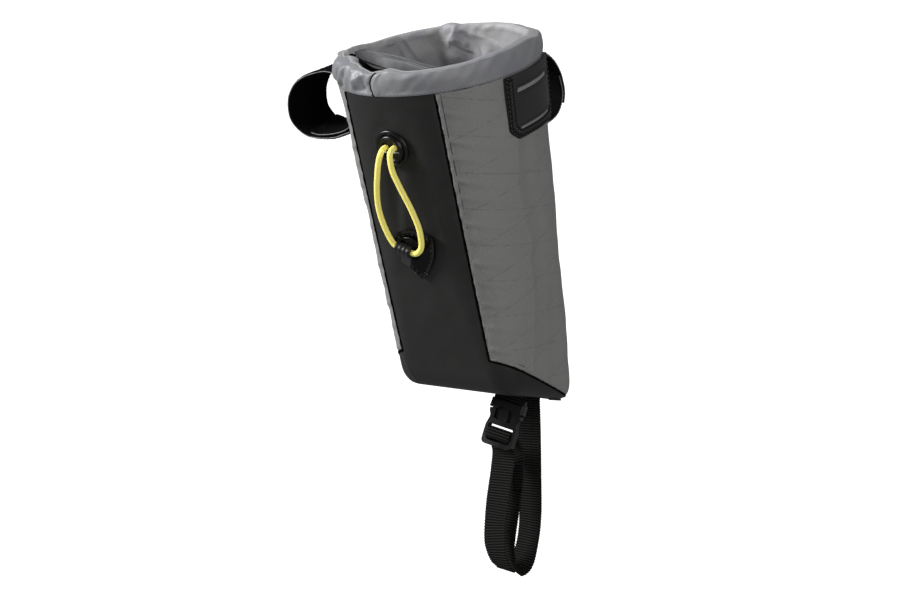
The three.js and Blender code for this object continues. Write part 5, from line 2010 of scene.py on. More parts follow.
@dataclass
class ClosureBand:
    """The inner closure's tunnel: a hemmed band that leaves the rim flat and crosses the mouth upright."""

    upper: tuple[Triple, ...] = (
        (-50.6, 1.8, 7.8), (-44.0, -1.7, 8.4), (-36.5, -4.5, 8.4), (-26.0, -7.8, 8.1), (-15.0, -11.0, 7.6),
        (1.0, -16.0, 5.9), (14.5, -20.0, 5.2), (28.0, -24.2, 4.3), (39.2, -27.6, 3.4),
    )
    lower: tuple[Triple, ...] = (
        (-46.4, -15.6, 10.5), (-41.5, -13.6, 7.5), (-36.2, -12.2, 5.0), (-27.5, -11.8, 2.3),
        (-14.0, -13.4, 0.4),
        (1.0, -16.6, -2.4), (14.5, -20.6, -3.2), (28.0, -24.6, -4.2), (39.0, -27.6, -5.1),
    )
    thickness: float = 1.2
    width: float = 8.6
    step: float = 0.45

    def build(self, shop: Workshop) -> None:
        """Makes the band between its two edges, and the stitch lines of its hem.

        A point is the upper edge mixed with the lower one, bulged forwards in the middle, where the hem's
        seams are sunk.

        Args:
            shop: the workshop that makes the pieces.
        """
        edges = (centripetal(np.array(edge), 40)[0] for edge in (self.upper, self.lower))
        top, bottom = (evened(self.step, edge)[0] for edge in edges)
        count = min(len(top), len(bottom))
        top, bottom = (e[np.linspace(0, len(e) - 1, count).astype(int)] for e in (top, bottom))
        share = np.linspace(0, 1, 34)[None, :, None]
        grid = top[:, None] * (1 - share) + bottom[:, None] * share
        normal = grid_normals(grid)
        normal = normal * np.sign(normal @ np.array([0.45, -0.8, 0.4]))[..., None]
        s, r = np.arange(count)[:, None] * self.step, share[..., 0] * self.width
        bulge = 0.5 * np.sin(math.pi * share[..., 0]) + 0.16 * ripple(s, r * 0.6, 24.0, 43)
        bulge = bulge + 0.05 * ripple(s, r, 8.0, 44)
        bulge = bulge - 0.3 * bump(r, 1.1, 0.28) - 0.25 * bump(r, 2.0, 0.26)
        face = grid + normal * bulge[..., None]
        band = walled(face, face - normal * self.thickness, laid(s, r))
        shop.piece("closure_tunnel", band, "band", "nylon", ["closure_band"])
        for name, column in (("upper", 6), ("lower", 28)):
            row = stitches(face[:, column], normal[:, column], 1.2, 2.0, 0.1)
            shop.piece(f"closure_{name}_stitches", row, "gray_thread_and_shadow", "nylon")


@dataclass
class StrapPatch:
    """A black patch with two slots and cut lower corners, its woven border sewn to the pouch."""

    name: str
    face: Face
    offset: float
    drop: float
    lift: float
    slot_height: float
    width: float = 45.0
    height: float = 33.0
    chamfer: float = 5.0
    thickness: float = 1.3
    top: float = -0.4
    slot_width: float = 31.0
    slot_drop: float = 8.3
    slot_spacing: float = 20.0
    border: float = 4.4

    def place(self, sideways: Array, up: Array, share: Number) -> Array:
        """Points on the patch: on its side, bulging off the wall where a strap runs behind it.

        Args:
            sideways: place along the side's sideways direction.
            up: height.
            share: share of the thickness.

        Returns:
            The points.
        """
        across = np.clip((sideways - self.offset) / self.width + 0.5, 0, 1)
        bulge = self.lift * np.minimum(1, 6 * np.minimum(across, 1 - across)) ** 2
        return FORM.on_face(self.face, sideways, up, GAP + bulge + share * self.thickness)

    def slot(self, more: float) -> list[Array]:
        """Both slots' outlines with round ends, made wider and higher by more.

        Args:
            more: how much wider and higher they are.

        Returns:
            The upper slot's and the lower one's.
        """
        upper = self.top - self.drop - self.slot_drop
        high = self.slot_height + more
        outline = rounded_box(self.slot_width + more, high, high / 2 - 0.01, 7)
        return [outline + [self.offset, upper], outline + [self.offset, upper - self.slot_spacing]]

    def edge(self, inset: float) -> Array:
        """The patch's outline, moved inwards.

        Args:
            inset: how far it is moved inwards.

        Returns:
            The outline's points.
        """
        top, bottom = self.top - self.drop - inset, self.top - self.drop - self.height + inset
        x0, x1 = self.offset - self.width / 2 + inset, self.offset + self.width / 2 - inset
        cut = self.chamfer - 0.41 * inset
        return arc_corner([
            (x1, top, 0.8), (x0, top, 0.8), (x0, bottom + cut, 1.6), (x0 + cut, bottom, 1.6),
            (x1 - cut, bottom, 1.6), (x1, bottom + cut, 1.6),
        ])

    def tape(self) -> Array:
        """The woven border's outline: wide down the near side and the bottom, narrow on the far side.

        Returns:
            The outline's points.
        """
        outer, inner = self.edge(0.15), self.edge(self.border)
        corner = len(outer) // 6
        inner = inner[2 * corner:5 * corner]
        far = self.offset + self.width / 2 - 1.1
        start = [[far, outer[0, 1]], [far, inner[-1, 1] + 1.6]]
        end = [[inner[0, 0], outer[corner, 1]]]
        return np.vstack([outer[corner:], outer[:corner], start, inner[::-1], end])

    def tape_place(self, sideways: Array, up: Array, share: Number) -> Array:
        """Points of the woven border, which stands a little off the sheet."""
        return self.place(sideways, up, 0.7 + 0.55 * share)

    def backing_place(self, sideways: Array, up: Array, share: Number) -> Array:
        """Points of what shows in a slot, sunk into the sheet."""
        return self.place(sideways, up, 0.35 + 0.4 * share)

    def sewn(
        self, row: Array, share: float, length: float, pitch: float, radius: float, lean: float = 0.0
    ) -> Skin:
        """A row of stitches along a line on the patch.

        Args:
            row: the line's corners.
            share: how high it lies, as a share of the thickness.
            length: length of a stitch.
            pitch: distance from one stitch to the next.
            radius: radius of the thread.
            lean: slant of the stitches in degrees.

        Returns:
            The stitches.
        """
        run = running(row)
        x, y = read_at(np.linspace(0, run[-1], max(int(run[-1] / 0.6), 20)), run, row).T
        line = self.place(x, y, share)
        out = unit(line - self.place(x, y, share - 1.0))
        return stitches(line + out * 0.04, out, length, pitch, radius, lean)

    def build(self, shop: Workshop) -> None:
        """Makes the sheet, its sewn woven border, the slots' stitches and what shows in the slots.

        Args:
            shop: the workshop that makes the pieces.
        """
        sheet = cut_plate(self.edge(0.0), self.slot(0.0), self.place, self.thickness)
        shop.plate(f"{self.name}_sheet", sheet, "rubber", "rubber", [self.name], 0.28)
        tape = cut_plate(self.tape(), [], self.tape_place, 0.4)
        shop.plate(f"{self.name}_border", tape, "border", "rubber")
        zigzag, hem = self.edge(2.7), self.edge(0.65)
        corner = len(hem) // 6
        slanted = self.sewn(zigzag[corner:5 * corner], 1.3, 2.6, 1.7, 0.3, 50.0)
        shop.piece(f"{self.name}_zigzag", slanted, "slot_thread", "rubber")
        dashes = self.sewn(closed(hem), 1.3, 1.6, 2.5, 0.22)
        shop.piece(f"{self.name}_hem_line", dashes, "slot_thread", "rubber")
        for number, slot in enumerate(self.slot(2.4)):
            row = self.sewn(closed(slot), 1.0, 1.3, 2.0, 0.12)
            shop.piece(f"{self.name}_slot_stitches_{number}", row, "black_thread_and_shadow", "rubber")
        if not self.lift:
            for number, slot in enumerate(self.slot(-0.55)):
                bar = cut_plate(slot - [0.8, 0], [], self.backing_place, 0.5)
                shop.plate(f"{self.name}_slot_backing_{number}", bar, "laminate", "laminate")


# A strap's loop seen from its side: distance off the wall and height, as shares of its reach and height
ARC_ROWS = np.array([
    [0.22, 0.4], [0.38, 0.45], [0.6, 0.4], [0.76, 0.315], [0.885, 0.19], [0.98, -0.005],
    [1, -0.245], [0.945, -0.37], [0.83, -0.485], [0.66, -0.54], [0.43, -0.535], [0.22, -0.46],
])


# Height of the middle between a patch's slots: the patch's top, the upper slot's drop, half their spacing
SLOT_MIDDLE = -0.4 - 8.3 - 10.0


@dataclass
class StrapLoop:
    """A hook-and-loop strap: behind its patch, out through both slots and round its loop."""

    name: str
    face: Face
    offset: float
    drop: float
    reach: float
    height: float
    yaw: float
    sway: float
    inner_from: int
    outer_to: int
    width: float = 25.0
    thickness: float = 1.8

    def route(self) -> tuple[Array, Array, Array]:
        """The strap's points, sideways directions and bows, from its inner end to its outer one.

        Returns:
            Points (n, 3), directions (n, 3) and bows (n,), before they are smoothed.
        """
        out, side = self.face.out, self.face.side
        middle = SLOT_MIDDLE - self.drop
        foot = FORM.on_face(self.face, self.offset, middle, 0.0)
        arc = ARC_ROWS * [self.reach, self.height]
        heart = np.array([0.52 * self.reach, -0.05 * self.height])
        ray = arc - heart
        far = np.linalg.norm(ray, axis=1, keepdims=True)
        inner = heart + ray * (far - self.thickness - GAP) / far
        held = np.array([[0.5, 5.4], [0.7, 8.1], [1.6, 9.7], [2.8, 10.7]])
        held = held * [self.thickness, 1] + [2 * GAP, 0]
        held = np.vstack([held[::-1] * [1, -1], held])

        def free(rows: Array) -> tuple[Array, Array, Array]:
            """The part off the wall: points, sideways directions that turn with the reach, and no bow.

            Args:
                rows: distance off the wall and height of each point.

            Returns:
                Points, sideways directions and bows.
            """
            stand, up = rows.T
            at = foot + stand[:, None] * out + (self.sway * stand / self.reach)[:, None] * side
            at[:, 2] = middle + up
            angle = (np.radians(self.yaw) * stand / self.reach)[:, None]
            return at, np.cos(angle) * side + np.sin(angle) * np.cross([0, 0, 1], side), 0 * stand

        left, centre, right = (
            FORM.on_face(self.face, self.offset + k * self.width / 2, middle + held[:, 1], held[:, 0])
            for k in (-1, 0, 1)
        )
        across = unit((right - left) * [1, 1, 0])
        bow = centre @ out - (left @ out + right @ out) / 2
        parts = [free(inner[self.inner_from :]), (centre, across, bow), free(arc[: self.outer_to + 1])]
        return tuple(np.concatenate(group) for group in zip(*parts))

    def selvage(self, path: Array, side: Array, bend: Array, sign: int) -> Skin:
        """The pale thread along one edge of the tape.

        Args:
            path: the tape's middle line.
            side: its sideways directions.
            bend: how far its edges bend.
            sign: which edge.

        Returns:
            The thread.
        """
        tangent = unit(np.gradient(path, axis=0))
        side = squared(side, tangent)
        edge = path + sign * side * (self.width / 2 - 0.12) + np.cross(tangent, side) * bend[:, None]
        return sweep(edge, side, rounded_box(0.42, 0.5, 0.2, 3), relief=ragged(57 + sign, 0.035))

    def build(self, shop: Workshop) -> None:
        """Makes the strap with its ragged nap and its edge threads.

        Args:
            shop: the workshop that makes the pieces.
        """
        points, across, bow = self.route()
        path, side, bend = evened(0.48, *centripetal(points, 40, across, bow[:, None]))
        bend = bend[:, 0]
        profile = strap_outline(self.width - 0.2, self.thickness, 34)
        half = profile[:, 0].max()
        edge = smooth(half - 1.3, half - 0.7, np.abs(profile[:, 0]))[None, :]
        loose = ragged(51, 0.13)

        def nap(s: Array, r: Array) -> Array:
            """Loose loops all over, held down along the edges."""
            return (0.07 * ripple(s, r, 2.2, 52, 12) + loose(s, r)) * (1 - 0.3 * edge) - 0.1 * edge

        shop.piece(f"{self.name}_tape", sweep(path, side, profile, bend, nap), "hook", "hook", [self.name])
        for name, sign in (("near", 1), ("far", -1)):
            thread = self.selvage(path, side, bend, sign)
            shop.piece(f"{self.name}_{name}_selvage", thread, "pale_thread", "hook")


@dataclass
class PullLoop:
    """The elastic pull loop: from the grommet, through the lock and back."""

    diameter: float = 3.0
    points: tuple[Triple, ...] = (
        (-2.8, -50.3, -26.8), (-2.8, -53, -26.9), (-3, -55.3, -28.4), (-4.4, -56, -31.7),
        (-7.9, -55.5, -41.2),
        (-11.2, -54, -51.1), (-12.6, -53, -57.7), (-12.9, -52, -64.3), (-12.2, -51, -70.8),
        (-10.9, -50, -76.6),
        (-9.4, -49.5, -79.6), (-7.6, -49.5, -80.7), (-3.7, -49.5, -82), (0.6, -49.5, -83.45),
        (3.4, -49.5, -83.7),
        (6.3, -49.5, -81.9), (8.2, -49.8, -78.6), (8.9, -50.2, -75), (9.4, -51, -69.3), (8.7, -52, -62.8),
        (7.4, -53, -56.4), (5.7, -54, -50.1), (4.1, -55, -43.8), (2.8, -55.8, -37.6), (2.7, -56, -31.4),
        (2.8, -55.3, -28.4), (2.8, -53, -26.9), (2.8, -50.3, -26.8),
    )

    def build(self, shop: Workshop) -> None:
        """Args:
            shop: the workshop that makes the pieces.
        """
        path = centripetal(np.array(self.points), 18)[0]
        side = np.broadcast_to([0.7, -0.7, 0.05], path.shape)
        profile = self.diameter / 2 * spokes(32, *np.eye(2))
        turns = 2 / self.diameter

        def braid(s: Array, r: Array) -> Array:
            """Eight strands that wind each way."""
            one, two = (np.sin(8 * (r * turns + sign * s * 0.5)) for sign in (1, -1))
            return -0.06 + 0.09 * np.maximum(one, two)

        skin = sweep(path, side, profile, relief=braid)
        piece = shop.piece("pull_elastic", skin, "elastic", "elastic", ["elastic_cord"])


SIDES = (("left", -1), ("right", 1))
# The front panel's slope, outward direction and upward direction
FRONT_SLOPE = (FORM.mouth[1] - FORM.base[1] - FORM.base_forward) / FORM.front_height
FRONT_OUT = unit(np.array([0, -1, -FRONT_SLOPE]))
FRONT_UP = unit(np.array([0, -FRONT_SLOPE, 1]))


@dataclass
class Grommet:
    """The eyelet in the front panel: stepped rings round a recessed face with two cord holes."""

    diameter: float = 20.0
    height: float = 2.4
    drop: float = 27.6
    spacing: float = 5.6
    hole: float = 1.8
    hole_rise: float = 0.8
    face_lift: float = 0.3
    face_share: float = 0.3
    rings: tuple[Pair, ...] = (
        (0.52, 0.1), (1.0, 0.1), (1.0, 0.28), (0.975, 0.44), (0.93, 0.55), (0.87, 0.57), (0.82, 0.5),
        (0.79, 0.36), (0.765, 0.33), (0.745, 0.5), (0.72, 0.78), (0.68, 0.94), (0.63, 1.0), (0.58, 0.96),
        (0.545, 0.8), (0.525, 0.55),
    )

    def build(self, shop: Workshop) -> None:
        """Makes the flange with its rings, the face, the rims of its holes, and a pale glossy rod behind the
        cord that paints the highlight on the recess's lower rim.

        Args:
            shop: the workshop that makes the pieces.
        """
        centre = FORM.on_face(Face.FRONT, np.array(0.0), np.array(-self.drop), np.array(0.0))
        r, h = self.diameter / 2, self.height
        ridge = np.array(self.rings) * [r, h]
        across = np.array([1.0, 0, 0])
        spoke = spokes(96, across, FRONT_UP)
        foot = FORM.on_face(Face.FRONT, (centre + spoke * r)[:, 0], (centre + spoke * r)[:, 2], 0.0)
        gapped = (foot - centre) @ FRONT_OUT
        bend = gapped[None, :, None] * (ridge[:, None, :1] / r) ** 2 * (1 - ridge[:, None, 1:] / h)
        points = centre + ridge[:, None, :1] * spoke + (ridge[:, None, 1:] + bend) * FRONT_OUT
        rings = turned_body(points, r, ridge[:, 0])
        shop.piece("grommet_rings", rings, "gloss_plastic", "plastic", ["grommet"])
        circle = spokes(96, *np.eye(2))
        holes = [circle[::-4] * self.hole + [k * self.spacing / 2, self.hole_rise] for k in (-1, 1)]

        def face_at(x: Array, y: Array, share: Number) -> Array:
            """Points of the recessed face."""
            stand = self.face_lift + share * h * self.face_share
            return centre + x[:, None] * across + y[:, None] * FRONT_UP + stand * FRONT_OUT

        face = cut_plate(circle * r * 0.54, holes, face_at, h * self.face_share, 3.0)
        shop.plate("grommet_face", face, "gloss_plastic", "plastic")
        top = FRONT_OUT * (self.face_lift + h * self.face_share)
        for name, sign in SIDES:
            middle = centre + [sign * self.spacing / 2, 0, 0] + FRONT_UP * self.hole_rise + top
            lip = closed(middle + spoke * (self.hole + 0.25))
            ring = sweep(lip, unit(lip - middle), rounded_box(0.6, 0.5, 0.24, 4))
            shop.piece(f"grommet_{name}_lip", ring, "gloss_plastic", "plastic")
        # A pale glossy rod across the face, behind the cord: painted highlight on the recess's lower rim
        x = np.linspace(-5.0, 5.0, 12)[:, None]
        glint_rod = centre + x * across - FRONT_UP * 1.3 + FRONT_OUT * (1.3 + h * 0.3)
        glint_rod = sweep(glint_rod, np.broadcast_to(FRONT_UP, glint_rod.shape), rounded_box(0.8, 0.8, 0.36, 4))
        shop.piece("grommet_painted_glint", glint_rod, "glint_rod", "plastic")


@dataclass
class ShieldPatch:
    """The glossy patch under the lock: an arched top, a point below, a raised rim and dashes of thread."""

    width: float = 25.5
    height: float = 28.0
    drop: float = 72.6
    thickness: float = 1.2

    def outline(self, inset: float) -> Array:
        """The patch's edge, moved inwards by inset: three quadratic curves.

        Args:
            inset: how far it is moved inwards.

        Returns:
            The outline's points.
        """
        w, h, top = self.width / 2 - inset, self.height - 1.9 * inset, -self.drop - inset
        t = np.linspace(0, 1, 26)[:-1, None]
        left, right, tip = (-w, top - 0.12 * h), (w, top - 0.12 * h), (0, top - h)
        pulls = (0, top + 0.12 * h), (-w, top - 0.6 * h), (w, top - 0.6 * h)
        return np.vstack([
            (1 - t) ** 2 * np.array(a) + 2 * t * (1 - t) * np.array(b) + t**2 * np.array(c)
            for a, b, c in zip((right, left, tip), pulls, (left, tip, right))
        ])

    def place(self, x: Array, y: Array, share: Number) -> Array:
        """Points on the patch, by its sideways place, height and share of its thickness."""
        return FORM.on_face(Face.FRONT, x, y, GAP + np.asarray(share) * self.thickness)

    def rim_place(self, x: Array, y: Array, share: Number) -> Array:
        """Points on the raised rim."""
        return self.place(x, y, 0.6 + 0.75 * np.asarray(share))

    def build(self, shop: Workshop) -> None:
        """Makes the sheet, its rim, the groove's thread and the stitches.

        Args:
            shop: the workshop that makes the pieces.
        """
        sheet = cut_plate(self.outline(0.2), [], self.place, self.thickness)
        shop.plate("shield_sheet", sheet, "shield", "plastic", ["shield_patch"], 0.4)
        band = cut_plate(self.outline(0.0), [self.outline(1.5)], self.rim_place, 0.9, 1.5)
        shop.plate("shield_rim", band, "gloss_plastic", "plastic", soft=0.3)
        x, y = closed(self.outline(2.4)).T
        at = self.place(x, y, 1.0)
        out = unit(at - self.place(x, y, 0.0))
        dashes = stitches(at + out * 0.03, out, 1.9, 3.1, 0.17)
        shop.piece("shield_stitches", dashes, "slot_thread", "plastic")


@dataclass
class CordLock:
    """The lock on the pull loop: a ribbed barrel, the oval body behind it and a thumb tab."""

    centre: Triple = (-3.7, -49.5, -82.0)
    tilt: float = 18.6
    length: float = 9.6
    diameter: float = 6.2
    bore: float = 1.62
    body_depth: float = -45.9
    body_size: Pair = (6.6, 4.8)
    rim_size: Pair = (5.9, 4.2)

    def barrel(self, centre: Array, axis: Array, up: Array) -> Skin:
        """The barrel with its bore: a ribbed outline turned about the cord.

        Args:
            centre: its middle.
            axis: direction of its length.
            up: direction square to its length and to the front.

        Returns:
            The barrel.
        """
        z = np.linspace(-0.5, 0.5, 81)
        ribs = 0.99 - 0.05 * (0.5 + 0.5 * np.cos(2 * math.pi * (z + 0.5) * 4))
        ribs = ribs - 0.22 * smooth(0.42, 0.5, np.abs(z)) + 0.05 * z
        rows = np.vstack([
            np.stack([ribs * self.diameter / 2, z * self.length], -1),
            np.stack([np.full(13, self.bore), np.linspace(0.5, -0.5, 13) * self.length], -1),
        ])
        spoke = spokes(48, np.array([0, -1.0, 0]), up)
        points = centre + rows[:, None, :1] * spoke + rows[:, None, 1:] * axis
        return turned_body(points, self.diameter / 2, rows[:, 1])

    def dome(self, body: Array, axis: Array, up: Array, front: float, back: float) -> Skin:
        """A flattened oval body: half an ellipsoid forwards and a shallow one backwards.

        Args:
            body: its middle.
            axis: direction of its length.
            up: direction of its height.
            front: how far it stands forwards.
            back: how far it stands backwards.

        Returns:
            The body.
        """
        reach = np.sin(np.linspace(0, math.pi / 2, 14))
        oval = spokes(64, axis * self.body_size[0], up * self.body_size[1])
        height = np.sqrt(np.maximum(1 - reach**2, 0))
        forward = np.array([0, -1.0, 0])
        ahead = body + reach[:, None, None] * oval + height[:, None, None] * forward * front
        behind = body + reach[::-1, None, None] * oval - height[::-1, None, None] * forward * back
        grid = np.concatenate([ahead[1:], behind[1:-1]])
        poles = np.vstack([body + forward * front, body - forward * back])
        return capped(grid, poles, np.zeros((grid[..., 0].size + 2, 2)))

    def build(self, shop: Workshop) -> None:
        """Makes the barrel with its bore, the body with its rim, the tab and the bridge between them.

        Args:
            shop: the workshop that makes the pieces.
        """
        lean = math.radians(self.tilt)
        centre = np.array(self.centre)
        axis = np.array([math.cos(lean), 0, -math.sin(lean)])
        up = np.array([math.sin(lean), 0, math.cos(lean)])
        shop.piece("lock_barrel", self.barrel(centre, axis, up), "lock", "plastic", ["cord_lock"])
        body = centre + up * 1.5 + axis * 1.7
        body[1] = self.body_depth
        shop.piece("lock_body", self.dome(body, axis, up, 1.3, 0.1), "gloss_plastic", "plastic")
        ring = closed(body - [0, 0.5, 0] + spokes(96, axis * self.rim_size[0], up * self.rim_size[1]))
        side = unit(ring - body)
        shop.piece("lock_body_rim", sweep(ring, side, rounded_box(1.3, 1.7, 0.6)), "gloss_plastic", "plastic")
        tab = arc_corner([(-1.0, 1.0, 0.3), (-1.6, -8.2, 1.6), (4.4, -8.8, 1.6), (4.6, 1.0, 0.3)], 7)[::-1]

        def tab_at(x: Array, y: Array, share: Number) -> Array:
            """Points of the tab, which bends back at its lower end.

            Args:
                x: sideways places.
                y: heights.
                share: share of the thickness.

            Returns:
                The points.
            """
            at = centre + (x - 0.6)[:, None] * axis + (y - 0.8)[:, None] * up
            at[:, 1] = -48.6 + 1.4 * smooth(0, -8.5, y) + (0.5 - share) * 1.3
            return at

        shop.plate("lock_tab", cut_plate(tab, [], tab_at, 1.3, 1.2), "tab", "plastic", soft=0.4)
        path = np.linspace(centre - axis * 3.2 + [0, 2.0, 0], centre + axis * 3.2 + [0, 2.0, 0], 8)
        bridge = sweep(path, np.broadcast_to([0.0, -1.0, 0.0], path.shape), rounded_box(4.2, 4.0, 1.0))
        shop.piece("lock_bridge", bridge, "gloss_plastic", "plastic")


# Where the buckle and the webbing hang from the base
HANG_POINT = np.array([5.0, 10.0, -187.2083])


def leaning(forward: float, sideways: float) -> tuple[Array, Array, Array]:
    """Down, side and back directions of what hangs from the base, leaning forward and sideways in degrees.

    Args:
        forward: how far it leans forward, in degrees.
        sideways: how far sideways, in degrees.

    Returns:
        Unit directions: down, side and back.
    """
    f, s = math.radians(forward), math.radians(sideways)
    down = np.array([math.sin(s), -math.cos(s) * math.sin(f), -math.cos(s) * math.cos(f)])
    side = unit(np.array([-down[2], 0, down[0]]))
    return down, side, np.cross(side, down)


# Directions of the hanging webbing and of the buckle
HANG = leaning(21.9, 4.7)
BUCKLE = leaning(31.5, -9.4)


def below(axes: tuple[Array, Array, Array], sideways: Array, down: Array, back: Array) -> Array:
    """Points below the base by their three distances along axes, broadcast together.

    Args:
        axes: down, side and back directions.
        sideways: distances along the side direction.
        down: distances along the down direction.
        back: distances along the back direction.

    Returns:
        The points.
    """
    d, s, b = axes
    sideways, down, back = (np.asarray(v, float)[..., None] for v in (sideways, down, back))
    return HANG_POINT + sideways * s + down * d + back * b


def buckle_at(sideways: Array, down: Array, front: Array) -> Array:
    """Points in the buckle's frame."""
    return below(BUCKLE, sideways, down, -np.asarray(front, float))


def across(path: Array, profile: Array, relief: Relief | None = None) -> Skin:
    """A profile swept along a path, its width across the buckle."""
    return sweep(path, np.broadcast_to(BUCKLE[1], path.shape), profile, relief=relief)


@dataclass
class Buckle:
    """The side-release buckle below the base and the tab that holds it."""

    webbing: float = 15.0
    cloth: float = 1.3
    rail: float = 1.8
    bar: float = 2.5
    thickness: float = 4.0
    bar_thickness: float = 2.4
    socket_length: float = 8.2
    plug_length: float = 20.0

    def __post_init__(self) -> None:
        """Works out the places along the buckle, as the solids have them."""
        self.inner = self.webbing / 2 + GAP
        self.outer = self.inner + self.rail
        self.socket_top = 1.9
        self.socket_bar_end = self.socket_top + 1.3
        self.sleeve_top = self.socket_bar_end + self.cloth + 2 * GAP + 0.2
        self.sleeve_end = self.socket_top + self.socket_length
        self.shoulder = self.sleeve_end + GAP
        self.plug_end = self.shoulder + self.plug_length
        self.low_bar = self.plug_end - self.bar
        self.mid_end = self.low_bar - 2.2 * self.cloth - 2 * GAP
        self.mid_top = self.mid_end - self.bar
        self.slot_top = self.mid_top - self.cloth - 2 * GAP - 1
        self.layer = self.bar_thickness / 2 + GAP + self.cloth / 2

    def plate(
        self, shop: Workshop, name: str, outline: Array, holes: Sequence[Array], thickness: float,
        soft: float, crown: float = 0.0, offset: float = 0.0, lift: float = 0.0, replaces: Sequence[str] = (),
    ) -> None:
        """A moulded plate of the buckle with rounded edges.

        Args:
            shop: the workshop.
            name: the piece's name.
            outline: its edge as sideways and down.
            holes: its holes.
            thickness: how thick it is.
            soft: radius of its edges.
            crown: how much thicker it is in its middle than at its sides.
            offset: how far it lies in front of the buckle's middle.
            lift: how much further forwards its middle lies than its sides.
            replaces: the solids that it stands for.
        """

        def place(x: Array, y: Array, share: Number) -> Array:
            """Points of the plate.

            Args:
                x: sideways places.
                y: places up the plate.
                share: share of the thickness.

            Returns:
                The points.
            """
            middle = 1 - (x / self.outer) ** 2
            through = (np.asarray(share) - 0.5) * (thickness + crown * middle)
            return buckle_at(x, -y, offset + lift * middle + through)

        skin = cut_plate(outline * [1, -1], [hole * [1, -1] for hole in holes], place, thickness, 1.6)
        shop.plate(name, skin, "satin_plastic", "plastic", replaces, soft)

    def socket(self, shop: Workshop) -> None:
        """Makes the socket: its frame with the tab's bar, its two covers and its side walls.

        Args:
            shop: the workshop that makes the pieces.
        """
        o, i, top, end = self.outer, self.inner, self.sleeve_top, self.sleeve_end
        bottom = [(o + 0.1, end, 0.5), (-o - 0.1, end, 0.5)]
        frame = arc_corner([(-o, top - 3.2, 1.2), (o, top - 3.2, 1.2), *bottom])
        bar_end, low = self.socket_bar_end, top - 0.45
        hole = arc_corner([(-i, bar_end, 0.4), (i, bar_end, 0.4), (i, low, 0.4), (-i, low, 0.4)])
        self.plate(shop, "socket_frame", frame - [0, 0.2], [hole[::-1]], 2.6, 0.5, replaces=["buckle_socket"])
        scallop = np.linspace(-1, 1, 15)
        lip = np.stack([scallop * 4.6, end - 1.6 * (1 - scallop**2)], -1)
        upper = arc_corner([(-o, top, 0.8), (o, top, 0.8)])[2:-2]
        edge = np.vstack([upper, [[o + 0.1, end]], lip[::-1], [[-o - 0.1, end]]])
        offset = self.thickness / 2 + GAP + 0.6
        self.plate(shop, "socket_front_cover", edge, [], 1.1, 0.35, offset=offset, lift=0.5)
        self.plate(shop, "socket_back_cover", edge, [], 1.1, 0.35, offset=-offset, lift=-0.5)
        y = np.linspace(top - 0.4, end - 0.2, 8)
        for side, sign in SIDES:
            path = buckle_at(np.full(8, sign * (o - 0.35)), y, 0 * y)
            wall = across(path, rounded_box(1.1, self.thickness + 2 * GAP + 1.4, 0.4))
            shop.piece(f"socket_wall_{side}", wall, "satin_plastic", "plastic")

    def plug(self, shop: Workshop) -> None:
        """Makes the plug: its arms and frame with a window, a web, the middle bar and the press ribs.

        Args:
            shop: the workshop that makes the pieces.
        """
        o, i, top, shoulder, slot = self.outer, self.inner, self.sleeve_top, self.shoulder, self.slot_top
        left = [
            (-2.2, top + 3.0, 0.8), (-2.6, slot - 2.8, 0.8), (-o + 3.6, slot - 3.6, 0.8),
            (-o + 3.4, top + 2.2, 0.8),
            (-o + 1.6, top + 2.0, 0.5), (-o + 1.4, shoulder, 0.3), (-o - 0.3, shoulder + 0.3, 0.5),
            (-o - 0.1, shoulder + 2.2, 0.8), (-o + 1.5, shoulder + 4.0, 1.4), (-o + 0.5, slot - 0.8, 1.0),
            (-o, slot + 1.0, 0.8), (-o, self.plug_end, 3.0),
        ]
        right = [(-x, y, radius) for x, y, radius in reversed(left)]
        frame = arc_corner(right[-5:] + left + right[:-5])[::-1]
        bar = self.low_bar
        window = arc_corner([(-i, slot, 0.6), (i, slot, 0.6), (i, bar, 1.4), (-i, bar, 3.0)])[::-1]
        self.plate(shop, "plug_frame", frame, [window], self.thickness, 0.7, 0.4, replaces=["buckle_plug"])
        w, high, low = o - 2.6, top + 1.0, slot - 2.4
        web = arc_corner([(-w, high, 0.5), (w, high, 0.5), (w, low, 0.8), (-w, low, 0.8)])
        self.plate(shop, "plug_web", web, [], 1.4, 0.3)
        x = np.linspace(-i - 0.8, i + 0.8, 12)
        path = buckle_at(x, self.mid_top + self.bar / 2, 0 * x)
        outline = rounded_box(self.bar, self.bar_thickness, self.bar_thickness * 0.42)
        bar = sweep(path, np.broadcast_to(BUCKLE[0], path.shape), outline)
        shop.piece("plug_middle_bar", bar, "satin_plastic", "plastic")
        for side, sign in SIDES:
            for number in range(4):
                x = np.full(5, sign * (o - 0.35 - 0.25 * number))
                path = buckle_at(x, shoulder + 1.2 + number * 1.15, np.linspace(-1.7, 1.7, 5))
                rib = across(path, rounded_box(1.0, 0.55, 0.25, 4))
                shop.piece(f"press_rib_{side}_{number}", rib, "satin_plastic", "plastic")

    def build(self, shop: Workshop) -> None:
        """Makes the socket, the plug and the webbing tab that holds the socket to the base.

        Args:
            shop: the workshop that makes the pieces.
        """
        self.socket(shop)
        self.plug(shop)
        front, e = 0.9 + GAP + self.cloth / 2, self.socket_bar_end
        rows = np.array([
            [0.35, front], [1.75, front], [e, front + 0.1], [e + 0.8, front - 0.4],
            [e + GAP + self.cloth / 2 + 0.1, 0],
            [e + 0.8, 0.4 - front], [e, -front - 0.1], [1.75, -front], [0.35, -front],
        ])
        path = centripetal(buckle_at(0 * rows[:, 0], rows[:, 0], rows[:, 1]), 12)[0]
        tab = across(path, strap_outline(self.webbing - 0.6, self.cloth, 16), webbing_ribs)
        shop.piece("buckle_tab_webbing", tab, "webbing", "webbing", ["buckle_tab"])


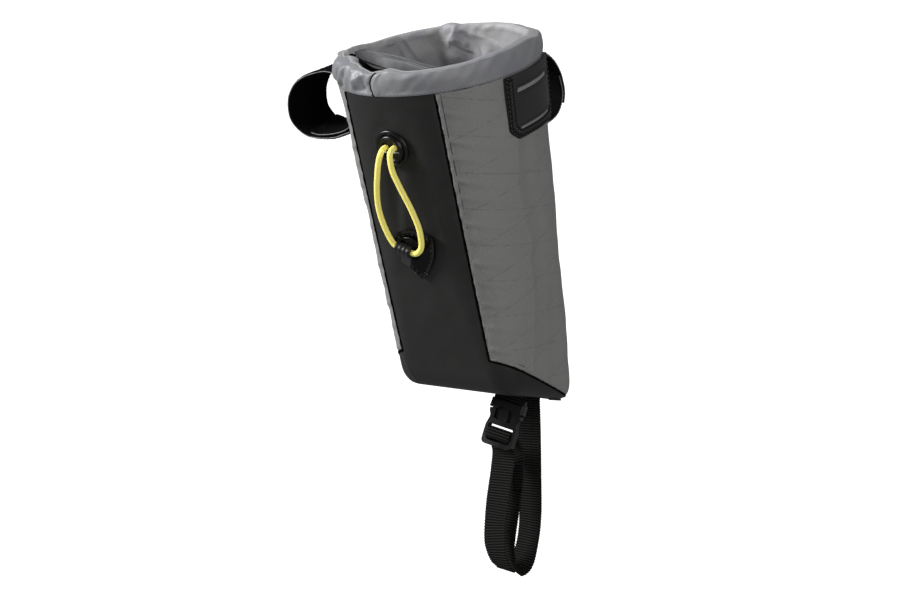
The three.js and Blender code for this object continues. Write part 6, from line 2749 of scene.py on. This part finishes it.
def webbing_ribs(along: Array, around: Array) -> Array:
    """Ribs across webbing: a squared-off sine wave that sways a little from thread to thread.

    Args:
        along: distance along the webbing.
        around: distance round its section.

    Returns:
        Outward distances in millimetres.
    """
    wave = np.sin(2 * math.pi * along / RIB_PITCH + 0.45 * np.sin(2 * math.pi * around / RIB_SWAY))
    threads = 0.02 * np.sin(2 * math.pi * around / 1.3)
    return 0.17 * (np.abs(wave) ** 0.7) * np.sign(wave) + threads - 0.06


@dataclass
class LowerStrap:
    """The webbing that hangs below: its tail, its way through the buckle, and its loop to the base."""

    buckle: Buckle
    drop: float = 96.5
    depth: float = 24.3
    sway: float = 10.0
    width: float = 15.0
    thickness: float = 1.3
    tail: tuple[tuple[float, ...], ...] = (
        (0.995, 0.1, 0.62, 2, 15), (0.955, -0.08, 0.67, 3, 15), (0.87, -0.22, 0.76, 5, 14),
        (0.73, -0.17, 0.87, 3, 13), (0.61, -0.13, 0.8, 0, 13), (0.44, 0.0, 0.74, 0, 13),
    )
    loop: tuple[tuple[float, ...], ...] = (
        (0.44, 0.385, 0.7, 0, 13), (0.61, 0.33, 0.8, 2, 13), (0.73, 0.277, 0.87, 6, 14),
        (0.86, 0.272, 0.95, 14, 16),
        (0.955, 0.36, 0.92, 16, 22), (1.0, 0.54, 0.9, 12, 28), (0.985, 0.72, 0.86, 8, 32),
        (0.95, 0.85, 0.82, 6, 28), (0.87, 0.97, 0.75, 4, 16), (0.73, 1.0, 0.6, 0, 9),
        (0.44, 0.89, 0.47, -10, 7),
        (0.2, 0.77, 0.33, -14, 6), (-0.012, 0.65, 0.2, -14, 2),
    )

    hem: tuple[tuple[float, ...], ...] = (
        (0.4, 0.36, 0.4, 0, 13), (0.47, 0.34, 0.36, 0, 13), (0.55, 0.3, 0.34, 0, 13),
    )

    def rows(self, table: Sequence[Sequence[float]]) -> tuple[Array, Array]:
        """Points and sideways directions of a table's rows: down, back, sway, yaw and tilt.

        Args:
            table: the rows.

        Returns:
            The points and the directions.
        """
        down, back, sway, yaw, tilt = np.array(table).T
        d, s, b = HANG
        yaw, tilt = np.radians(yaw)[:, None], np.radians(tilt)[:, None]
        level = np.cos(yaw) * s - np.sin(yaw) * b
        across = np.cos(tilt) * level + np.sin(tilt) * d
        return below(HANG, -sway * self.sway, down * self.drop, back * self.depth), across

    def ladder(self) -> Array:
        """The webbing's way through the buckle's bars: down along it, front off its middle, and sideways.

        Returns:
            Down, front and sideways of each point.
        """
        k, layer = self.buckle, self.buckle.layer
        reach = k.mid_top - GAP - self.thickness / 2 - 0.1
        return np.array([
            [k.plug_end + 2.6, -layer - 4.8, 1.8], [k.low_bar + 0.4, -layer - 1.4, 0.2],
            [k.low_bar - 1.4, -layer + 0.8, -0.3], [k.mid_end + 1.6, layer - 0.9, 0],
            [k.mid_end + 0.2, layer + 0.6, 0], [k.mid_top + 0.9, layer + 0.7, 0],
            [k.mid_top - 0.7, layer + 0.1, 0], [reach, 0.8, 0], [reach, -0.7, 0],
            [k.mid_top - 0.4, -layer - 1.8, 0], [k.mid_end, -layer - 7.5, 0],
            [k.low_bar, -2 * layer - 10.5, 0], [k.plug_end + 1.0, -2 * layer - 12.6, 0],
        ])

    def build(self, shop: Workshop) -> None:
        """Makes the ribbed webbing, and the hemmed tab between its strands.

        Args:
            shop: the workshop that makes the pieces.
        """
        tail, tail_side = self.rows(self.tail)
        loop, loop_side = self.rows(self.loop)
        rungs = self.ladder()
        middle = buckle_at(rungs[:, 2], rungs[:, 0], rungs[:, 1])
        points = np.vstack([tail, middle, loop])
        sides = np.vstack([tail_side, np.broadcast_to(BUCKLE[1], middle.shape), loop_side])
        path, side = evened(0.22, *centripetal(points, 60, sides))
        skin = sweep(path, side, strap_outline(self.width, self.thickness - 0.1, 15), relief=webbing_ribs)
        shop.piece("hanging_webbing", skin, "webbing", "webbing", ["lower_strap"])
        hem, hem_side = self.rows(self.hem)
        path, side = evened(0.3, *centripetal(hem, 20, hem_side))
        skin = sweep(path + side * 1.2, side, strap_outline(6.5, 1.0, 12), relief=webbing_ribs)
        shop.piece("hemmed_webbing_end", skin, "webbing", "webbing")


@dataclass
class Studio:
    """A pale floor, soft light and the photograph's camera."""

    camera: Triple = (685.23, -885.71, 287.71)
    right: Triple = (0.8077, 0.5685, -0.1564)
    up: Triple = (-0.0824, 0.3715, 0.9248)
    back: Triple = (0.5838, -0.7340, 0.3469)
    lens: float = 90.2
    floor_height: float = -0.47

    aim: Triple = (0.0, -0.06, -0.08)
    lights: tuple[tuple[str, Triple, float, float], ...] = (
        ("key_light", (-1.6, -1.15, 1.3), 0.9, 87.0),
        ("fill_light", (1.6, -0.9, 0.5), 1.3, 18.0),
        ("top_light", (0.0, 0.3, 1.8), 1.2, 10.0),
    )
    sky: float = 0.2
    floor_half: float = 30.0

    def area(self, name: str, at: Triple, size: float, power: float) -> None:
        """A soft round light that faces the pouch's middle.

        Args:
            name: the light's name.
            at: where it stands, in metres.
            size: its width in metres.
            power: its power in watts.
        """
        light = bpy.data.lights.new(name, "AREA")
        light.shape, light.size, light.energy = "DISK", size, power
        lamp = put(name, light)
        lamp.location = at
        lamp.rotation_euler = (Vector(self.aim) - Vector(at)).to_track_quat("-Z", "Y").to_euler()

    def build(self) -> None:
        """Sets the camera, the lights, the world and the floor."""
        data = bpy.data.cameras.new("photo_camera")
        data.lens, data.sensor_width, data.clip_end = self.lens, 36.0, 100.0
        camera = put("photo_camera", data)
        place = (np.array(self.camera) - ROW_ORIGIN) / 1000
        columns = np.stack([self.right, self.up, self.back, place], -1)
        camera.matrix_world = Matrix([*columns.tolist(), [0, 0, 0, 1]])
        bpy.context.scene.camera = camera
        for light in self.lights:
            self.area(*light)
        world = bpy.data.worlds.new("studio")
        world.use_nodes = True
        background = world.node_tree.nodes["Background"]
        background.inputs["Color"].default_value = (1, 1, 1, 1)
        background.inputs["Strength"].default_value = self.sky
        bpy.context.scene.world = world
        bpy.context.scene.view_settings.view_transform = "Standard"
        mesh = bpy.data.meshes.new("pale_floor")
        half, z = self.floor_half, self.floor_height
        corners = [(-half, -half, z), (half, -half, z), (half, half, z), (-half, half, z)]
        mesh.from_pydata(corners, [], [(0, 1, 2, 3)])
        mesh.materials.append(PaleFloor("pale_floor", (0.22, 0.22, 0.22), 0.9).material())
        put("pale_floor", mesh)


def main() -> None:
    """Builds every piece and the studio."""
    logging.basicConfig(level=logging.INFO, format="%(name)s: %(message)s")
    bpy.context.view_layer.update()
    shop = Workshop({key: finish.material() for key, finish in FINISHES.items()})
    Studio().build()
    PullLoop().build(shop)
    Body().build(shop)
    collar = Collar()
    collar.build(shop)
    Lining(collar).build(shop)
    ClosureBand().build(shop)
    strap_lift = 1.8 + 3 * GAP
    StrapPatch("right_patch", Face.RIGHT, 6.0, 0.0, 0.0, 2.6).build(shop)
    StrapPatch("left_patch", Face.LEFT, -4.0, 0.0, strap_lift, 4.6).build(shop)
    StrapPatch("back_patch", Face.BACK, 0.0, 13.0, strap_lift, 4.6).build(shop)
    StrapLoop("left_strap", Face.LEFT, -4.0, 0.0, 44.0, 37.0, -19.0, 2.0, 8, 11).build(shop)
    StrapLoop("back_strap", Face.BACK, 0.0, 13.0, 41.0, 42.0, 0.0, 0.0, 5, 7).build(shop)
    Grommet().build(shop)
    ShieldPatch().build(shop)
    CordLock().build(shop)
    buckle = Buckle()
    buckle.build(shop)
    LowerStrap(buckle).build(shop)
    log.info("%d pieces", shop.made)


if __name__ == "__main__":
    main()
